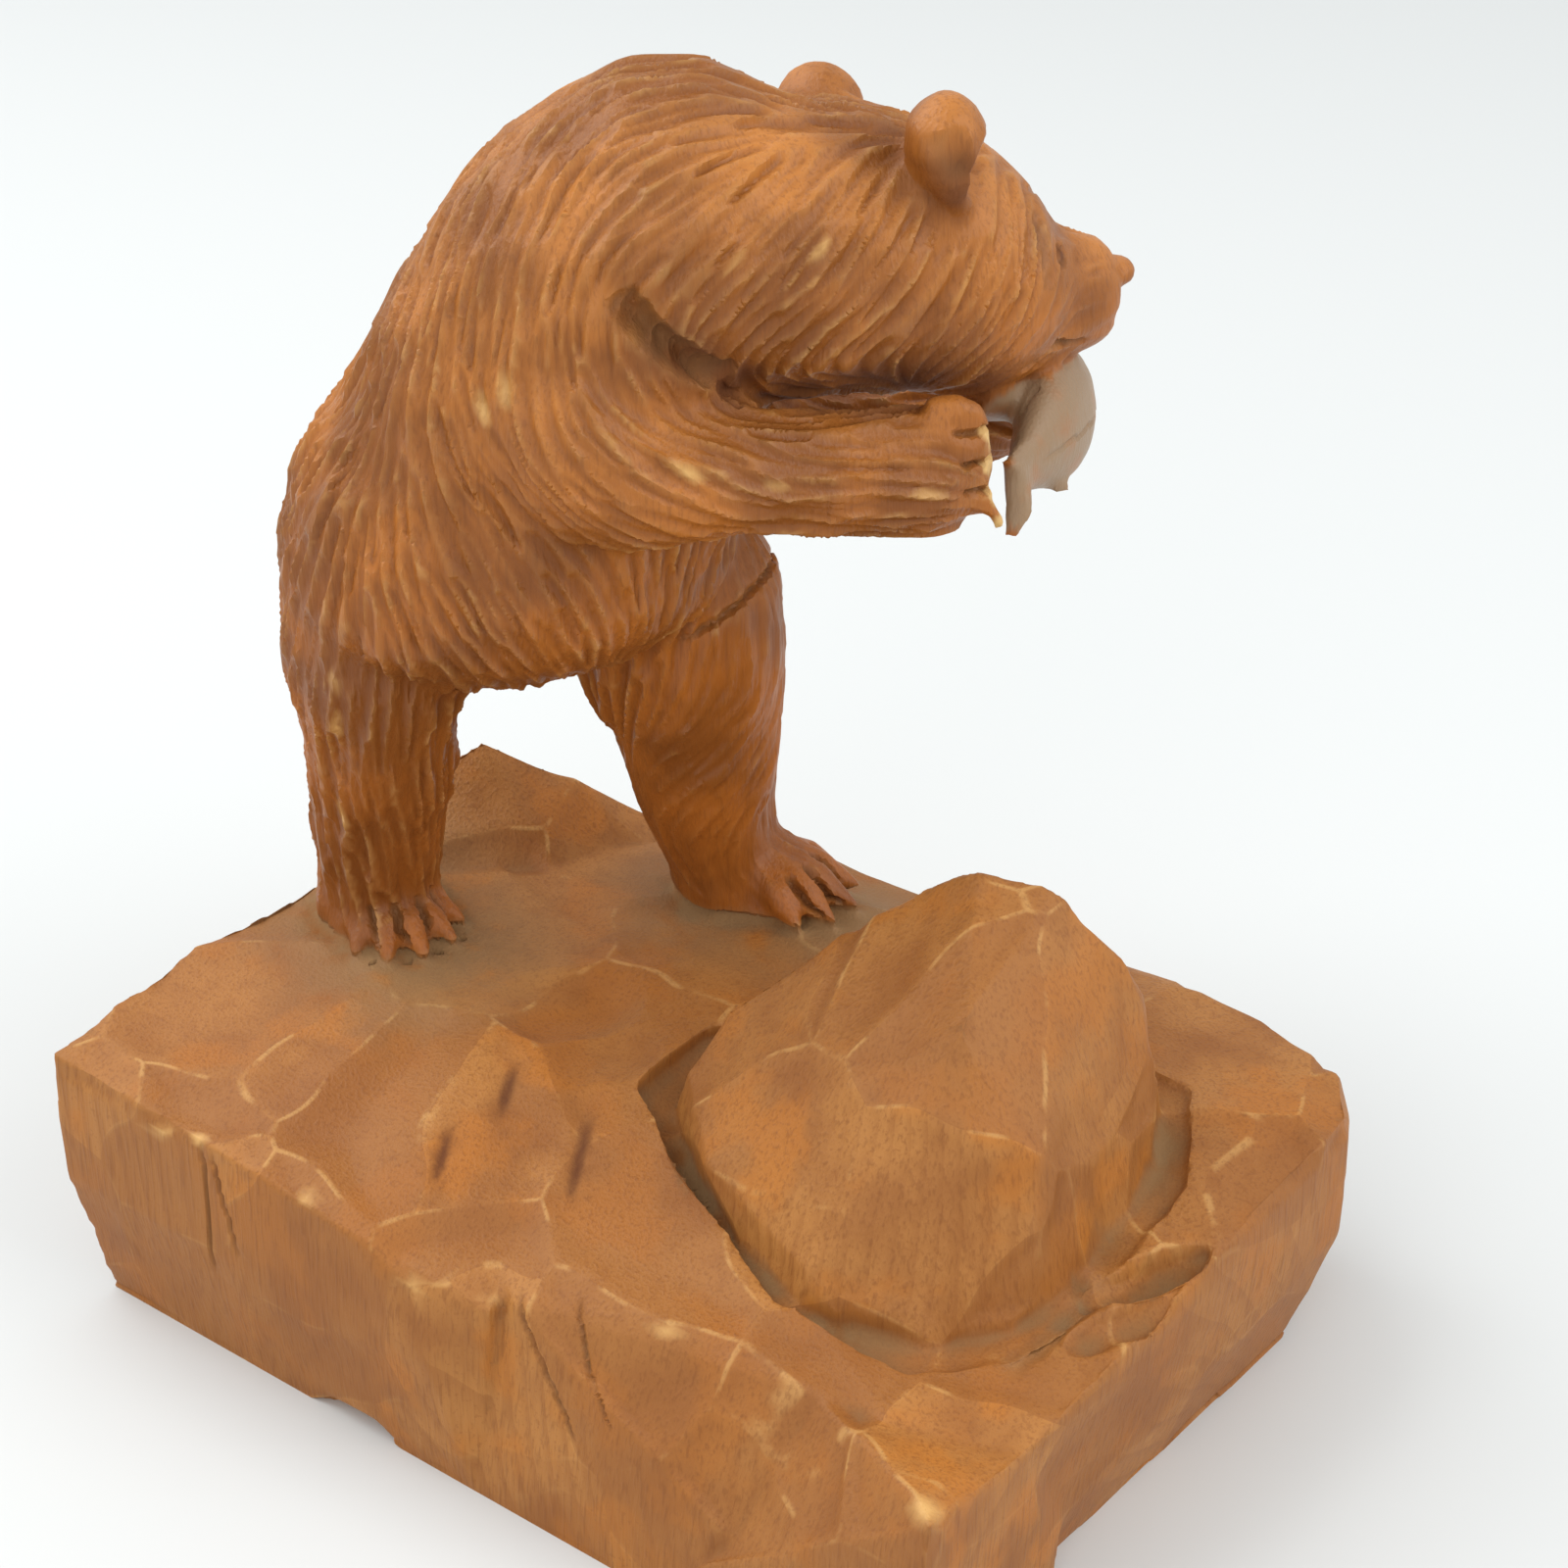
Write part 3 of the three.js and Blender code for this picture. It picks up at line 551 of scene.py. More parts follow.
@dataclass(frozen=True)
class FacetPattern:
    """Cells in which the rock is cut. The mesh and the finish both read it, so they agree."""

    scale: float = 31.0
    bend: float = 0.013
    bend_scale: float = 38.0

    def lay(self, nodes: "NodeBench", place: Socket) -> tuple[Socket, Socket]:
        """Adds the cells to a tree of nodes.

        Args:
            nodes: The tree.
            place: The place on the surface, in metres.

        Returns:
            How far the place is from its cell's edge, in cells, and a value of the cell's own.
        """
        noise = nodes.add("ShaderNodeTexNoise")
        noise.inputs["Scale"].default_value = self.bend_scale
        noise.inputs["Detail"].default_value = 1.0
        nodes.link(place, noise.inputs["Vector"])
        shift = nodes.vectors("MULTIPLY_ADD", noise.outputs["Color"], (self.bend,) * 3,
                              (-self.bend / 2,) * 3)
        bent = nodes.vectors("ADD", place, shift)
        found = []
        for feature, output in (("DISTANCE_TO_EDGE", "Distance"), ("F1", "Color")):
            cells = nodes.add("ShaderNodeTexVoronoi")
            cells.feature = feature
            cells.inputs["Scale"].default_value = self.scale
            nodes.link(bent, cells.inputs["Vector"])
            found.append(cells.outputs[output])
        parted = nodes.add("ShaderNodeSeparateXYZ")
        nodes.link(found[1], parted.inputs["Vector"])
        return found[0], parted.outputs["X"]

    def read(self, piece: bpy.types.Object) -> tuple[np.ndarray, np.ndarray]:
        """Returns each point's distance from its cell's edge, in cells, and its cell's value."""
        tree = bpy.data.node_groups.new("facet_reading", "GeometryNodeTree")
        tree.interface.new_socket("Geometry", in_out="INPUT", socket_type="NodeSocketGeometry")
        tree.interface.new_socket("Geometry", in_out="OUTPUT", socket_type="NodeSocketGeometry")
        nodes = NodeBench(tree)
        geometry = nodes.add("NodeGroupInput").outputs[0]
        values = self.lay(nodes, nodes.add("GeometryNodeInputPosition").outputs["Position"])
        for name, value in zip(("facet_edge", "facet_value"), values):
            store = nodes.add("GeometryNodeStoreNamedAttribute")
            store.data_type = "FLOAT"
            store.domain = "POINT"
            store.inputs["Name"].default_value = name
            nodes.link(geometry, store.inputs["Geometry"])
            nodes.link(value, store.inputs["Value"])
            geometry = store.outputs["Geometry"]
        nodes.link(geometry, nodes.add("NodeGroupOutput").inputs[0])
        reading = piece.modifiers.new("facet_reading", "NODES")
        reading.node_group = tree
        bpy.ops.object.modifier_apply(modifier=reading.name)
        found = []
        for name in ("facet_edge", "facet_value"):
            layer = piece.data.attributes[name]
            numbers = np.zeros(len(piece.data.vertices), np.float32)
            layer.data.foreach_get("value", numbers)
            found.append(numbers.astype(float))
            piece.data.attributes.remove(layer)
        return found[0], found[1]


@dataclass
class RockScallops:
    """Broad shallow scoops over the rock, one to a cell, that meet in thin ridges."""

    depth: float = 2.2
    side_depth: float = 0.45
    least_share: float = 0.35
    full_at: float = 0.34
    upright_under: float = 0.35
    side_top: float = 50.0
    blur: int = 6

    def cut(self, surface: Surface, anatomy: Anatomy, edge: np.ndarray,
            value: np.ndarray) -> np.ndarray:
        """Returns how deep the scoops cut at each point, in millimetres."""
        upright = np.abs(surface.normals[:, 2]) < self.upright_under
        outer = upright & (surface.points[:, 2] < self.side_top)
        full = surface.soften(np.where(outer, self.side_depth, self.depth), self.blur)
        share = self.least_share + (1 - self.least_share) * value
        rise = 1 - np.clip(edge / self.full_at, 0.0, 1.0)
        return np.where(anatomy.figure, 0.0, full * share * (1 - rise ** 2))


@dataclass(frozen=True)
class StainedWood:
    """Wood stained orange-brown, worn pale on its ridges and dirty in its hollows, with painted
    shade in its furrows, hollows and creases and a painted highlight on the bear's upper,
    up-facing tops.
    """

    bear: Triple = (0.375, 0.113, 0.014)
    bear_painted_highlight: Triple = (0.490, 0.180, 0.034)
    bear_dark: Triple = (0.170, 0.050, 0.008)
    rock: Triple = (0.415, 0.172, 0.040)
    rock_dark: Triple = (0.275, 0.096, 0.019)
    rock_warm: Triple = (0.460, 0.155, 0.018)
    pale: Triple = (0.640, 0.360, 0.120)
    dirt: Triple = (0.250, 0.152, 0.068)
    fish: Triple = (0.290, 0.185, 0.104)
    claw: Triple = (0.640, 0.400, 0.150)
    stain_and_painted_shade: Triple = (0.110, 0.035, 0.014)
    high_from: tuple[float, float] = (0.105, 0.215)
    grain_stretch: float = 0.07
    cloud_scale: float = 38.0
    warm_scale: float = 62.0
    blotch_scale: float = 110.0
    streak_scale: float = 320.0
    pore_scale: float = 1200.0
    fibre_scale: float = 1500.0
    line_edge: tuple[float, float] = (0.019, 0.004)
    grain_height: float = 0.00028
    grain_strength: float = 0.85
    warm_share: float = 0.60
    pore_share: float = 0.50
    ring_share: float = 0.45
    cell_share: float = 0.60
    fish_spot_share: float = 0.38
    fibre_share: float = 0.34
    polish_share: float = 0.10
    painted_hollow_shade_share: float = 0.58
    wear_share: float = 0.32
    dirt_share: float = 0.80
    sheltered_roughness: float = 0.40
    specular: float = 0.30
    roughness: tuple[float, float] = (0.40, 0.66)
    ring_scale: float = 100.0
    ring_place: Triple = (0.030, 0.034, 0.0)
    ring_tilt: Triple = (0.12, 0.22, 0.0)
    facets: FacetPattern = field(default_factory=FacetPattern)

    def build(self) -> bpy.types.Material:
        """Returns the material, with its colour, roughness and grain from nodes."""
        material = bpy.data.materials.new("stained_wood_carved")
        material.use_nodes = True
        nodes = NodeBench(material.node_tree)
        nodes.clear()
        place = nodes.add("ShaderNodeTexCoord").outputs["Object"]
        upright = nodes.add("ShaderNodeMapping")
        upright.inputs["Scale"].default_value = (1.0, 1.0, self.grain_stretch)
        nodes.link(place, upright.inputs["Vector"])
        cloud = nodes.noise(place, self.cloud_scale, 3.0)
        blotch = nodes.noise(place, self.blotch_scale, 4.0)
        fibre = nodes.noise(upright.outputs["Vector"], self.fibre_scale, 3.0)
        streak = nodes.noise(upright.outputs["Vector"], self.streak_scale, 3.0)
        tilted = nodes.add("ShaderNodeMapping")
        tilted.inputs["Location"].default_value = self.ring_place
        tilted.inputs["Rotation"].default_value = self.ring_tilt
        nodes.link(place, tilted.inputs["Vector"])
        rings = nodes.rings(tilted.outputs["Vector"], self.ring_scale)
        rings = nodes.product(nodes.ramp(rings, 0.45, 1.0), nodes.attribute("side"))
        rock_share = nodes.attribute("rock")
        parted = nodes.add("ShaderNodeSeparateXYZ")
        nodes.link(place, parted.inputs["Vector"])
        # Painted highlight: the bear's upper, up-facing surfaces are mixed towards a lighter
        # colour, as if lit from above
        high = nodes.product(nodes.ramp(parted.outputs["Z"], *self.high_from),
                             nodes.span(nodes.attribute("up"), 0.30, 1.0))
        bear = nodes.layers(nodes.mix(high, self.bear, self.bear_painted_highlight), (
            (self.bear_dark, nodes.ramp(cloud, 0.66, 0.36), 0.75),
            (self.bear_dark, nodes.ramp(blotch, 0.42, 0.75), 0.25)))
        warm = nodes.ramp(nodes.noise(place, self.warm_scale, 3.0), 0.48, 0.64)
        pores = nodes.ramp(nodes.noise(place, self.pore_scale, 2.0), 0.58, 0.70)
        edge, cell = self.facets.lay(nodes, place)
        rock = nodes.mix(nodes.ramp(cloud, 0.30, 0.62), self.rock_dark, self.rock)
        rock = nodes.layers(rock, (
            (self.rock_dark, nodes.ramp(streak, 0.48, 0.70), 0.35),
            (self.rock_dark, rings, self.ring_share),
            (self.rock_warm, warm, self.warm_share),
            (self.rock_dark, pores, self.pore_share),
            (self.rock_dark, nodes.ramp(cell, 0.0, 1.0), self.cell_share)))
        flat = nodes.ramp(nodes.attribute("side"), 1.0, 0.2)
        line = nodes.product(nodes.ramp(edge, *self.line_edge), nodes.ramp(blotch, 0.47, 0.60))
        line = nodes.product(line, nodes.span(flat, 0.10, 0.44))
        rock = nodes.mix(line, rock, self.pale)
        fish = nodes.layers(self.fish, (
            (self.bear, nodes.ramp(blotch, 0.44, 0.66), self.fish_spot_share),))
        worn = nodes.product(nodes.attribute("ridge"), nodes.ramp(blotch, 0.50, 0.66))
        grime = nodes.product(nodes.attribute("dirt"), nodes.ramp(blotch, 0.22, 0.52))
        chips = nodes.product(nodes.attribute("chip"), nodes.ramp(blotch, 0.35, 0.50))
        wood = nodes.layers(nodes.mix(rock_share, bear, rock), (
            (self.bear_dark, nodes.ramp(fibre, 0.50, 0.68), self.fibre_share),
            # Painted shade: the fur's furrows and the hollows are darkened with bear_dark
            (self.bear_dark, nodes.attribute("painted_hollow_shade"), self.painted_hollow_shade_share),
            (fish, nodes.attribute("fish"), 1.0),
            (self.pale, worn, self.wear_share),
            (self.pale, nodes.attribute("polish"), self.polish_share),
            (self.dirt, grime, self.dirt_share),
            # Dark stains, the dark eyes, and painted shade in the ears' hollows, the crease above
            # the near arm and under the jaw
            (self.stain_and_painted_shade, nodes.attribute("stain_and_painted_shade"), 1.0),
            (self.pale, chips, 1.0),
            (self.claw, nodes.attribute("claw"), 1.0)))
        shader = nodes.add("ShaderNodeBsdfPrincipled")
        nodes.link(wood, shader.inputs["Base Color"])
        shader.inputs["Specular IOR Level"].default_value = self.specular
        gloss = nodes.span(nodes.sum(nodes.value(rock_share, 0.5),
                                     nodes.value(nodes.attribute("dirt"), 0.5)), *self.roughness)
        gloss = nodes.sum(gloss, nodes.value(nodes.attribute("sheltered"),
                                             self.sheltered_roughness))
        nodes.link(gloss, shader.inputs["Roughness"])
        bump = nodes.add("ShaderNodeBump")
        bump.inputs["Strength"].default_value = self.grain_strength
        bump.inputs["Distance"].default_value = self.grain_height
        nodes.link(nodes.sum(fibre, nodes.value(blotch, 0.8)), bump.inputs["Height"])
        nodes.link(bump.outputs["Normal"], shader.inputs["Normal"])
        output = nodes.add("ShaderNodeOutputMaterial")
        nodes.link(shader.outputs["BSDF"], output.inputs["Surface"])
        return material


@dataclass(frozen=True)
class PaleFloor:
    """A plain, nearly white studio surface."""

    colour: Triple = (0.665, 0.68, 0.675)
    roughness: float = 0.6
    specular: float = 0.05

    def build(self) -> bpy.types.Material:
        """Returns the floor's material."""
        material = bpy.data.materials.new("pale_floor")
        material.use_nodes = True
        shader = material.node_tree.nodes["Principled BSDF"]
        shader.inputs["Base Color"].default_value = (*self.colour, 1.0)
        shader.inputs["Roughness"].default_value = self.roughness
        shader.inputs["Specular IOR Level"].default_value = self.specular
        return material


class NodeBench:
    """Places and joins the nodes of one tree."""

    def __init__(self, tree: bpy.types.NodeTree) -> None:
        """Keeps the tree that the nodes go into."""
        self.tree = tree

    def clear(self) -> None:
        """Takes out the nodes that a new material starts with."""
        self.tree.nodes.clear()

    def add(self, kind: str) -> bpy.types.Node:
        """Adds a node of a kind."""
        return self.tree.nodes.new(kind)

    def link(self, source: Socket, target: Socket) -> None:
        """Joins an output to an input."""
        self.tree.links.new(source, target)

    def noise(self, vector: Socket, scale: float, detail: float) -> Socket:
        """Adds noise at a scale per metre and returns its value."""
        node = self.add("ShaderNodeTexNoise")
        node.inputs["Scale"].default_value = scale
        node.inputs["Detail"].default_value = detail
        self.link(vector, node.inputs["Vector"])
        return node.outputs["Fac"]

    def rings(self, vector: Socket, scale: float) -> Socket:
        """Adds growth rings round the upright axis and returns their value."""
        node = self.add("ShaderNodeTexWave")
        node.wave_type = "RINGS"
        node.rings_direction = "Z"
        node.wave_profile = "SAW"
        node.inputs["Scale"].default_value = scale
        node.inputs["Distortion"].default_value = 7.0
        node.inputs["Detail"].default_value = 1.5
        node.inputs["Detail Scale"].default_value = 0.25
        self.link(vector, node.inputs["Vector"])
        return node.outputs["Fac"]

    def ramp(self, value: Socket, low: float, high: float) -> Socket:
        """Stretches a value so that low becomes 0 and high becomes 1."""
        node = self.add("ShaderNodeMapRange")
        node.interpolation_type = "SMOOTHSTEP"
        node.inputs["From Min"].default_value = low
        node.inputs["From Max"].default_value = high
        self.link(value, node.inputs["Value"])
        return node.outputs["Result"]

    def span(self, value: Socket, low: float, high: float) -> Socket:
        """Turns 0 to 1 into low to high."""
        node = self.add("ShaderNodeMapRange")
        node.inputs["To Min"].default_value = low
        node.inputs["To Max"].default_value = high
        self.link(value, node.inputs["Value"])
        return node.outputs["Result"]

    def attribute(self, name: str) -> Socket:
        """Reads one of the piece's own masks."""
        node = self.add("ShaderNodeAttribute")
        node.attribute_name = name
        return node.outputs["Fac"]

    def vectors(self, operation: str, *values: Socket | tuple) -> Socket:
        """Adds one step of vector arithmetic."""
        node = self.add("ShaderNodeVectorMath")
        node.operation = operation
        for socket, value in zip(node.inputs, values):
            if isinstance(value, tuple):
                socket.default_value = value
            else:
                self.link(value, socket)
        return node.outputs["Vector"]

    def _maths(self, operation: str, a: Socket, b: Socket | float) -> Socket:
        """Adds one sum or product of values."""
        node = self.add("ShaderNodeMath")
        node.operation = operation
        self.link(a, node.inputs[0])
        if isinstance(b, float):
            node.inputs[1].default_value = b
        else:
            self.link(b, node.inputs[1])
        return node.outputs["Value"]

    def value(self, value: Socket, share: float) -> Socket:
        """Takes a share of a value."""
        return self._maths("MULTIPLY", value, float(share))

    def product(self, a: Socket, b: Socket) -> Socket:
        """Multiplies two values."""
        return self._maths("MULTIPLY", a, b)

    def sum(self, a: Socket, b: Socket) -> Socket:
        """Adds two values."""
        return self._maths("ADD", a, b)

    def mix(self, share: Socket, a: Socket | Triple, b: Socket | Triple) -> Socket:
        """Mixes two colours, from a at 0 to b at 1."""
        node = self.add("ShaderNodeMix")
        node.data_type = "RGBA"
        self.link(share, node.inputs["Factor"])
        for socket, colour in ((node.inputs[6], a), (node.inputs[7], b)):
            if isinstance(colour, tuple):
                socket.default_value = (*colour, 1.0)
            else:
                self.link(colour, socket)
        return node.outputs[2]

    def layers(self, base: Socket | Triple, coats: tuple[tuple, ...]) -> Socket:
        """Lays coats over a base, each with its colour, its mask and its share."""
        for colour, mask, share in coats:
            base = self.mix(self.value(mask, share), base, colour)
        return base


@dataclass
class CarvedBear:
    """Bear, fish, boulder and rock as one carved piece."""

    name: str = "bear_carving"
    voxel: float = 0.00072
    triangles: int = 188000
    round_steps: int = 34
    rock_steps: int = 3
    crease_angle: float = 30.0
    hollow_steps: int = 70
    claw_reach: float = 1.9
    feet_dirt_reach: float = 24.0
    finish: StainedWood = field(default_factory=StainedWood)
    fur: FurGouging = field(default_factory=FurGouging)
    scallops: RockScallops = field(default_factory=RockScallops)

    def build(self, node: bpy.types.Object) -> bpy.types.Object:
        """Carves and dresses the piece.

        Args:
            node: The solid whose form the piece keeps.

        Returns:
            The finished object, at the origin.
        """
        piece = self._copy(node)
        low, high = np.array([corner[:] for corner in node.bound_box])[[0, 6]]
        self._remesh(piece)
        surface = self._read(piece)
        anatomy = Anatomy()
        anatomy.read(surface)
        self._round(surface, anatomy)
        anatomy.read(surface)
        draw = np.random.default_rng(SEED)
        tree = self._tree(surface.points)
        stroke_depth = self.fur.cut(surface, anatomy, tree, draw)
        self._write(piece, surface.points)
        edge, value = self.finish.facets.read(piece)
        depth = stroke_depth + self.scallops.cut(surface, anatomy, edge, value)
        cut_depth = np.zeros(len(surface.points))
        for knife in (CUTS + toe_cuts(*NEAR_TOES) + toe_cuts(*FAR_TOES)
                      + finger_cuts(*NEAR_HAND)):
            gouge(surface, tree, self._laid(surface, tree, np.array(knife.path)),
                  knife.width / 2, knife.depth, cut_depth, taper=0.3)
        depth = np.where(surface.points[:, 2] < UNDERSIDE_RIM, 0.0, depth + cut_depth)
        surface.points -= depth[:, None] * surface.normals
        surface.points[:, 2] = np.maximum(surface.points[:, 2], 0.0)
        surface.refresh()
        masks = self._masks(surface, anatomy, cut_depth)
        self._write(piece, surface.points)
        self._thin(piece)
        self._keep_inside(piece, low, high)
        self._paint(piece, surface.points, masks)
        self._shade(piece)
        piece.data.materials.clear()
        piece.data.materials.append(self.finish.build())
        return piece

    def _copy(self, node: bpy.types.Object) -> bpy.types.Object:
        """Copies the solid's mesh and merges its loose triangles."""
        bpy.ops.object.select_all(action="DESELECT")
        mesh = node.data.copy()
        mesh.materials.clear()
        piece = bpy.data.objects.new(self.name, mesh)
        bpy.context.scene.collection.objects.link(piece)
        piece.select_set(True)
        bpy.context.view_layer.objects.active = piece
        bpy.ops.object.mode_set(mode="EDIT")
        bpy.ops.mesh.select_all(action="SELECT")
        bpy.ops.mesh.remove_doubles(threshold=1e-6)
        bpy.ops.object.mode_set(mode="OBJECT")
        return piece

    def _remesh(self, piece: bpy.types.Object) -> None:
        """Gives the piece an even mesh that is fine enough to carve."""
        remesh = piece.modifiers.new("even_mesh", "REMESH")
        remesh.mode = "VOXEL"
        remesh.voxel_size = self.voxel
        bpy.ops.object.modifier_apply(modifier=remesh.name)

    def _read(self, piece: bpy.types.Object) -> Surface:
        """Reads the piece's mesh into arrays."""
        mesh = piece.data
        points = np.zeros(len(mesh.vertices) * 3)
        mesh.vertices.foreach_get("co", points)
        corners = np.zeros(len(mesh.loops), int)
        mesh.loops.foreach_get("vertex_index", corners)
        edges = np.zeros(len(mesh.edges) * 2, int)
        mesh.edges.foreach_get("vertices", edges)
        LOG.info("even mesh: %d points", len(mesh.vertices))
        return Surface(points.reshape(-1, 3) * MM, corners.reshape(-1, 4), edges.reshape(-1, 2))

    def _round(self, surface: Surface, anatomy: Anatomy) -> None:
        """Rounds the figure's facets and takes the mesh's steps off the rock."""
        held = surface.points[:, 2] < UNDERSIDE_RIM
        figure = surface.soften(np.where(anatomy.figure, anatomy.round_share, 0.0), 6)
        surface.relax(np.where(held, 0.0, figure), self.round_steps)
        surface.relax(np.where(held, 0.0, 1.0), self.rock_steps)

    def _tree(self, points: np.ndarray) -> KDTree:
        """Puts points into a search tree."""
        tree = KDTree(len(points))
        for index, point in enumerate(points):
            tree.insert(point, index)
        tree.balance()
        return tree

    def _laid(self, surface: Surface, tree: KDTree, path: np.ndarray) -> np.ndarray:
        """Lays a drawn line onto the surface in short steps."""
        steps = []
        for start, end in zip(path[:-1], path[1:]):
            count = max(2, int(np.linalg.norm(end - start) / 1.5))
            steps += [start + (end - start) * i / count for i in range(count)]
        steps.append(path[-1])
        return np.array([surface.points[tree.find(point)[1]] for point in steps])

    def _masks(self, surface: Surface, anatomy: Anatomy,
               cut_depth: np.ndarray) -> dict[str, np.ndarray]:
        """Works out where the wood is worn, dirty, stained or another colour, and where shade and
        a highlight are painted.
        """
        points = surface.points
        rise = ((points - surface.spread(surface.spread(points))) * surface.normals).sum(1)
        rise = surface.soften(rise, 1)
        wide = points.copy()
        for _ in range(self.hollow_steps):
            wide = 0.5 * wide + 0.5 * surface.spread(wide)
        hollow = ((wide - points) * surface.normals).sum(1)
        rock = surface.soften((~anatomy.figure).astype(float), 2)
        near_feet = np.min([np.linalg.norm(points - on_frame(foot), axis=1) for foot in FEET],
                           axis=0)
        round_feet = np.clip(1.35 - near_feet / self.feet_dirt_reach, 0.0, 1.0) * rock
        dirt = np.clip((hollow - 0.55) / 0.9, 0.0, 1.0) * rock + 0.95 * round_feet
        dirt += np.clip(cut_depth / 3.0, 0.0, 0.4)
        claws = np.zeros(len(points))
        for _, _, _, end, _ in hand_bones(*NEAR_HAND):
            gap = np.linalg.norm(points - on_frame(end), axis=1)
            claws = np.maximum(claws, gap < self.claw_reach)
        # Dark streaks and eyes, and painted shade in the ears' hollows, along the crease above the
        # near arm and under the jaw
        stain_and_painted_shade = np.zeros(len(points))
        for x, y, z, reach, strength, stretch in DARK_SPOTS:
            gap = points - np.array([x, y, z])
            gap -= (1 - 1 / stretch) * (gap @ STREAK_WAY)[:, None] * STREAK_WAY
            gap[:, 2] /= stretch
            distance = np.linalg.norm(gap, axis=1) / reach
            stain_and_painted_shade = np.maximum(stain_and_painted_shade, strength * np.clip(1.5 - 1.1 * distance, 0.0, 1.0))
        return {
            "rock": rock,
            "fish": surface.soften(anatomy.fish.astype(float), 1),
            # Painted shade in the fur's furrows and in the hollows of the figure and the rock
            "painted_hollow_shade": np.clip(np.maximum(-rise / 0.20, (hollow - 0.3) / 1.0), 0.0, 1.0),
            "ridge": np.clip((rise - 0.09) / 0.14, 0.0, 1.0),
            "dirt": np.clip(dirt, 0.0, 1.0),
            "claw": surface.soften(claws, 1),
            "stain_and_painted_shade": surface.soften(stain_and_painted_shade, 1),
            "sheltered": surface.soften(np.clip(np.maximum(hollow - 0.3, 2.0 * stain_and_painted_shade), 0, 1), 4),
            "chip": self._chips(surface, anatomy),
            # How far each point faces up, which sets where the highlight is painted
            "up": surface.soften(np.clip(0.25 + surface.normals[:, 2], 0.0, 1.0), 8),
            "side": surface.soften(np.clip(1.6 - 2.2 * np.abs(surface.normals[:, 2]), 0, 1), 4),
            "polish": np.clip(anatomy.part_share, 0, 1) * np.clip(rise / 0.20, 0.0, 1.0),
        }

    def _chips(self, surface: Surface, anatomy: Anatomy) -> np.ndarray:
        """Returns where bare wood shows. The spots on the fur are drawn out along it."""
        bare = np.zeros(len(surface.points))
        for spots, drawn_out in ((FUR_SPOTS, 0.62), (ROCK_SPOTS, 0.0)):
            for x, y, z, reach in spots:
                gap = surface.points - np.array([x, y, z])
                along = (gap * anatomy.flow).sum(1, keepdims=True) * anatomy.flow
                distance = np.linalg.norm(gap - drawn_out * along, axis=1)
                bare = np.maximum(bare, np.clip(1.3 - 1.3 * distance / reach, 0.0, 1.0))
        return bare

    def _write(self, piece: bpy.types.Object, points: np.ndarray) -> None:
        """Puts the carved points back into the mesh."""
        piece.data.vertices.foreach_set("co", (points / MM).ravel())
        piece.data.update()

    def _thin(self, piece: bpy.types.Object) -> None:
        """Takes out the triangles that the flat places don't need."""
        thin = piece.modifiers.new("thinned", "DECIMATE")
        thin.ratio = min(1.0, self.triangles / (2 * len(piece.data.polygons)))
        thin.use_collapse_triangulate = True
        bpy.ops.object.modifier_apply(modifier=thin.name)
        LOG.info("carved mesh: %d triangles", len(piece.data.polygons))

    def _keep_inside(self, piece: bpy.types.Object, low: np.ndarray, high: np.ndarray) -> None:
        """Draws back any point that stands outside the solid's box, given by two corners."""
        places = np.zeros(len(piece.data.vertices) * 3)
        piece.data.vertices.foreach_get("co", places)
        piece.data.vertices.foreach_set("co", np.clip(places.reshape(-1, 3), low, high).ravel())
        piece.data.update()

    def _paint(self, piece: bpy.types.Object, points: np.ndarray,
               masks: dict[str, np.ndarray]) -> None:
        """Gives the thinned mesh the masks of the nearest carved points."""
        tree = self._tree(points)
        nearest = np.array([tree.find(v.co * MM)[1] for v in piece.data.vertices])
        for name, values in masks.items():
            layer = piece.data.attributes.new(name, "FLOAT", "POINT")
            layer.data.foreach_set("value", values[nearest].astype(np.float32))

    def _shade(self, piece: bpy.types.Object) -> None:
        """Smooths the shading except across crisp ridges."""
        bpy.ops.object.select_all(action="DESELECT")
        piece.select_set(True)
        bpy.context.view_layer.objects.active = piece
        bpy.ops.object.shade_smooth_by_angle(angle=math.radians(self.crease_angle))


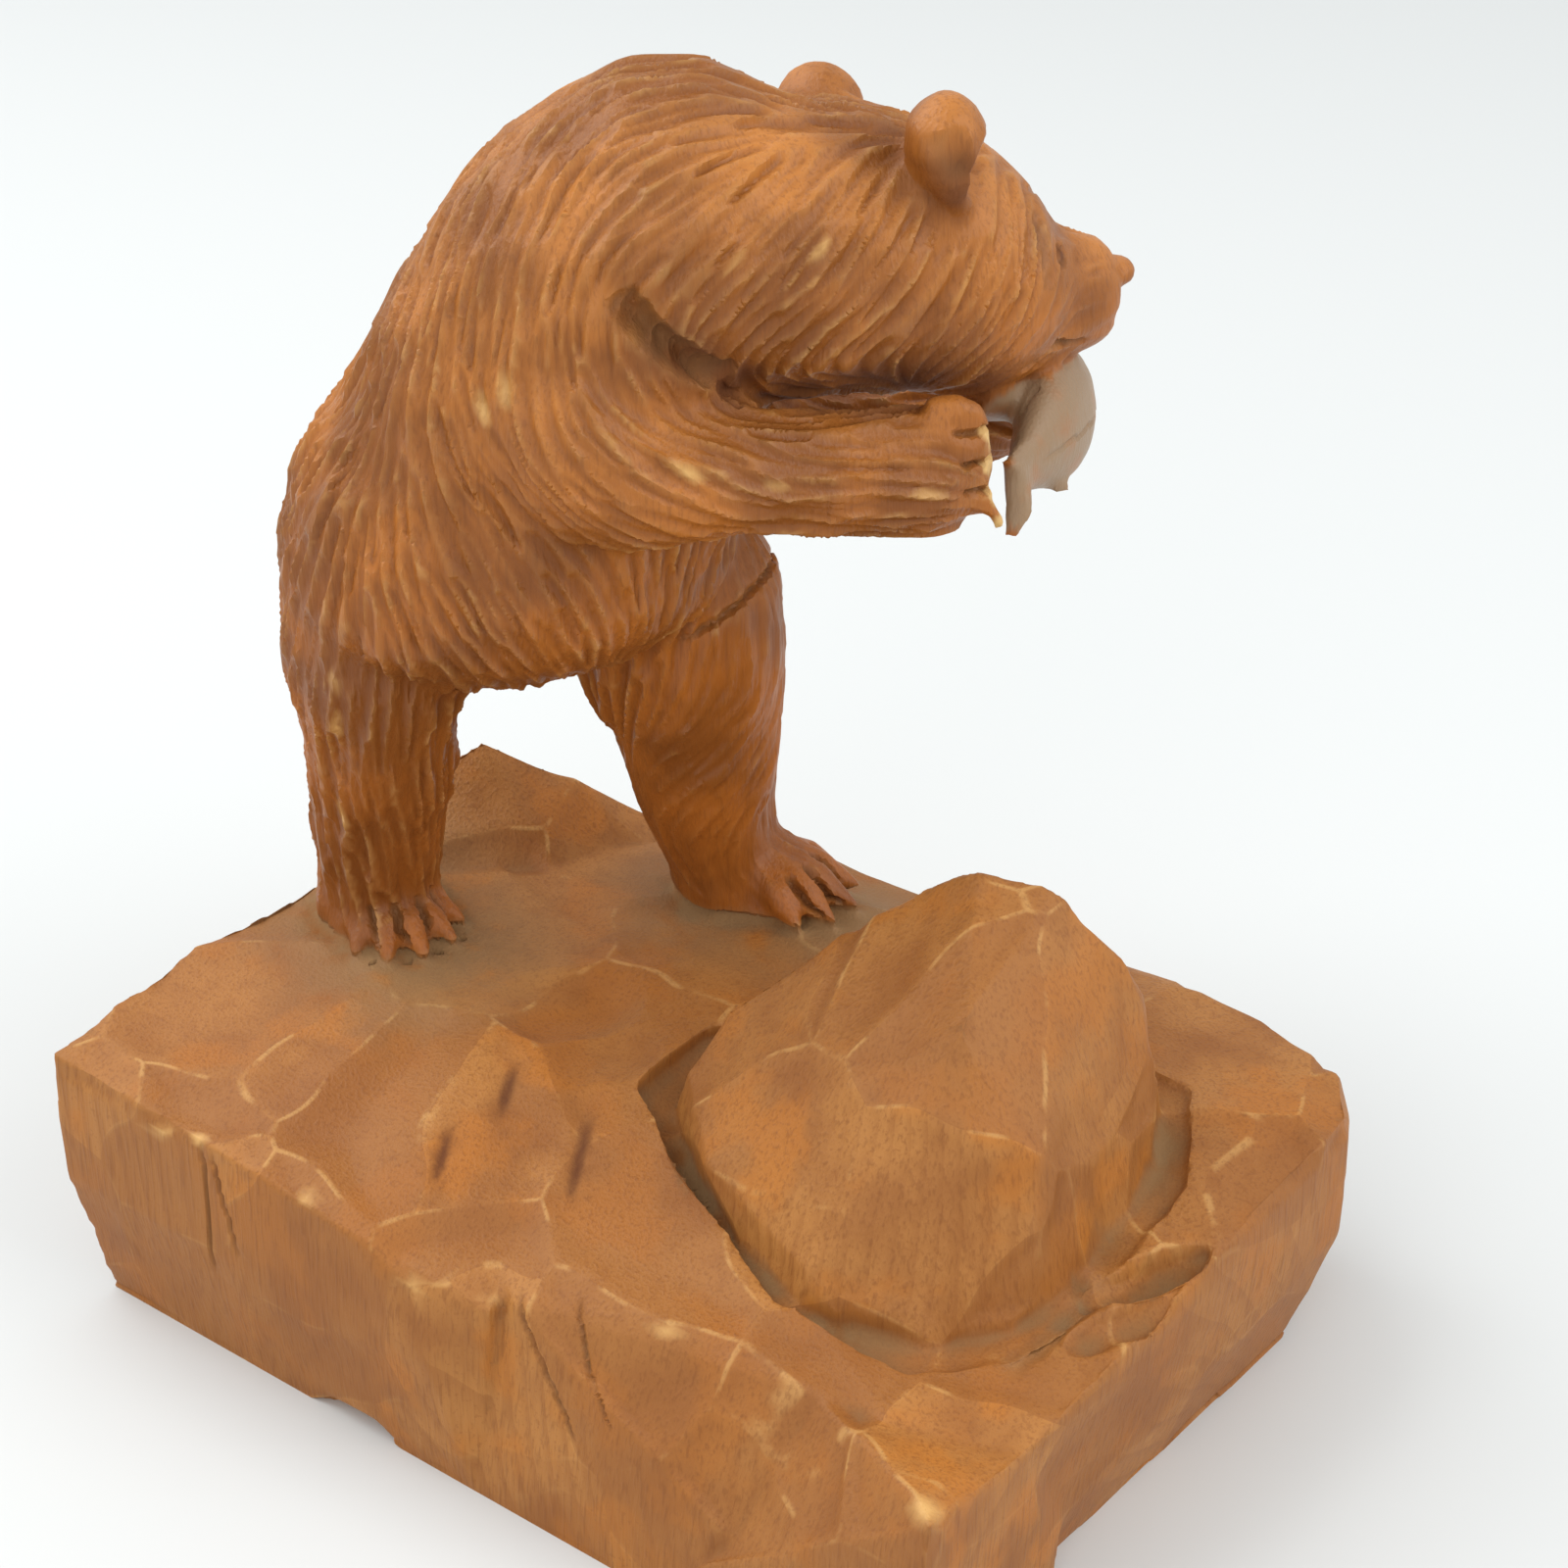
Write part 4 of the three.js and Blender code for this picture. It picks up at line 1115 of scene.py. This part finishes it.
@dataclass
class Studio:
    """A pale floor, soft lights and the camera."""

    camera_place: Triple = (0.32055, -0.40611, 0.414)
    azimuth: float = 37.8
    looks_down: float = 30.6
    lens: float = 77.42
    sensor: float = 36.0
    floor_size: float = 8.0
    floor_finish: PaleFloor = field(default_factory=PaleFloor)
    air: Triple = (0.97, 0.99, 1.0)
    air_strength: float = 0.80
    lit_height: float = 0.11
    # Each light's name, its place, its size and its power
    lights: tuple[tuple, ...] = (("window_light", (-0.75, -0.25, 1.05), 1.2, 11.5),
                                 ("fill_light", (0.95, 0.35, 0.85), 1.1, 8.0),
                                 ("front_light", (0.35, -1.1, 0.75), 0.9, 3.5))

    def build(self) -> None:
        """Sets up the floor, the lights and the camera."""
        self._floor()
        self._sky()
        for light in self.lights:
            self._lamp(*light)
        self._camera()

    def _floor(self) -> None:
        """Lays the floor under the rock."""
        bpy.ops.object.select_all(action="DESELECT")
        bpy.ops.mesh.primitive_plane_add(size=self.floor_size, location=(0, 0, 0))
        floor = bpy.context.active_object
        floor.name = "studio_floor"
        floor.data.materials.append(self.floor_finish.build())

    def _sky(self) -> None:
        """Lights everything evenly from all round."""
        world = bpy.data.worlds.new("studio_air")
        world.use_nodes = True
        air = world.node_tree.nodes["Background"]
        air.inputs["Color"].default_value = (*self.air, 1.0)
        air.inputs["Strength"].default_value = self.air_strength
        bpy.context.scene.world = world

    def _lamp(self, name: str, place: Triple, size: float, power: float) -> None:
        """Hangs a square soft light that faces the carving."""
        lamp = bpy.data.lights.new(name, "AREA")
        lamp.size = size
        lamp.energy = power
        holder = bpy.data.objects.new(name, lamp)
        bpy.context.scene.collection.objects.link(holder)
        towards = np.array([0.0, 0.0, self.lit_height]) - np.array(place)
        holder.location = place
        flat = math.hypot(towards[0], towards[1])
        holder.rotation_euler = (math.atan2(flat, -towards[2]), 0.0,
                                 math.atan2(-towards[0], towards[1]))

    def _camera(self) -> None:
        """Places the camera where it looks down on the carving from the front right."""
        data = bpy.data.cameras.new("view")
        data.lens = self.lens
        data.sensor_width = self.sensor
        camera = bpy.data.objects.new("view", data)
        camera.location = self.camera_place
        camera.rotation_euler = (math.radians(90 - self.looks_down), 0.0,
                                 math.radians(self.azimuth))
        bpy.context.scene.collection.objects.link(camera)
        bpy.context.scene.camera = camera


def corners(box: tuple) -> list[list[float]]:
    """Turns a box's two corners into plain lists."""
    return [[float(value) for value in corner] for corner in box]


def main() -> None:
    """Builds the carving and the studio and reports each piece."""
    logging.basicConfig(level=logging.INFO, format="%(name)s: %(message)s")
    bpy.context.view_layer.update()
    bear = CarvedBear().build(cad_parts["carved_bear"])
    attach(bear, "root")
    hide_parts("carved_bear")
    LOG.info("piece: %s", bear.name)
    Studio().build()
    bpy.context.scene.view_settings.view_transform = "Standard"


if __name__ == "__main__":
    main()
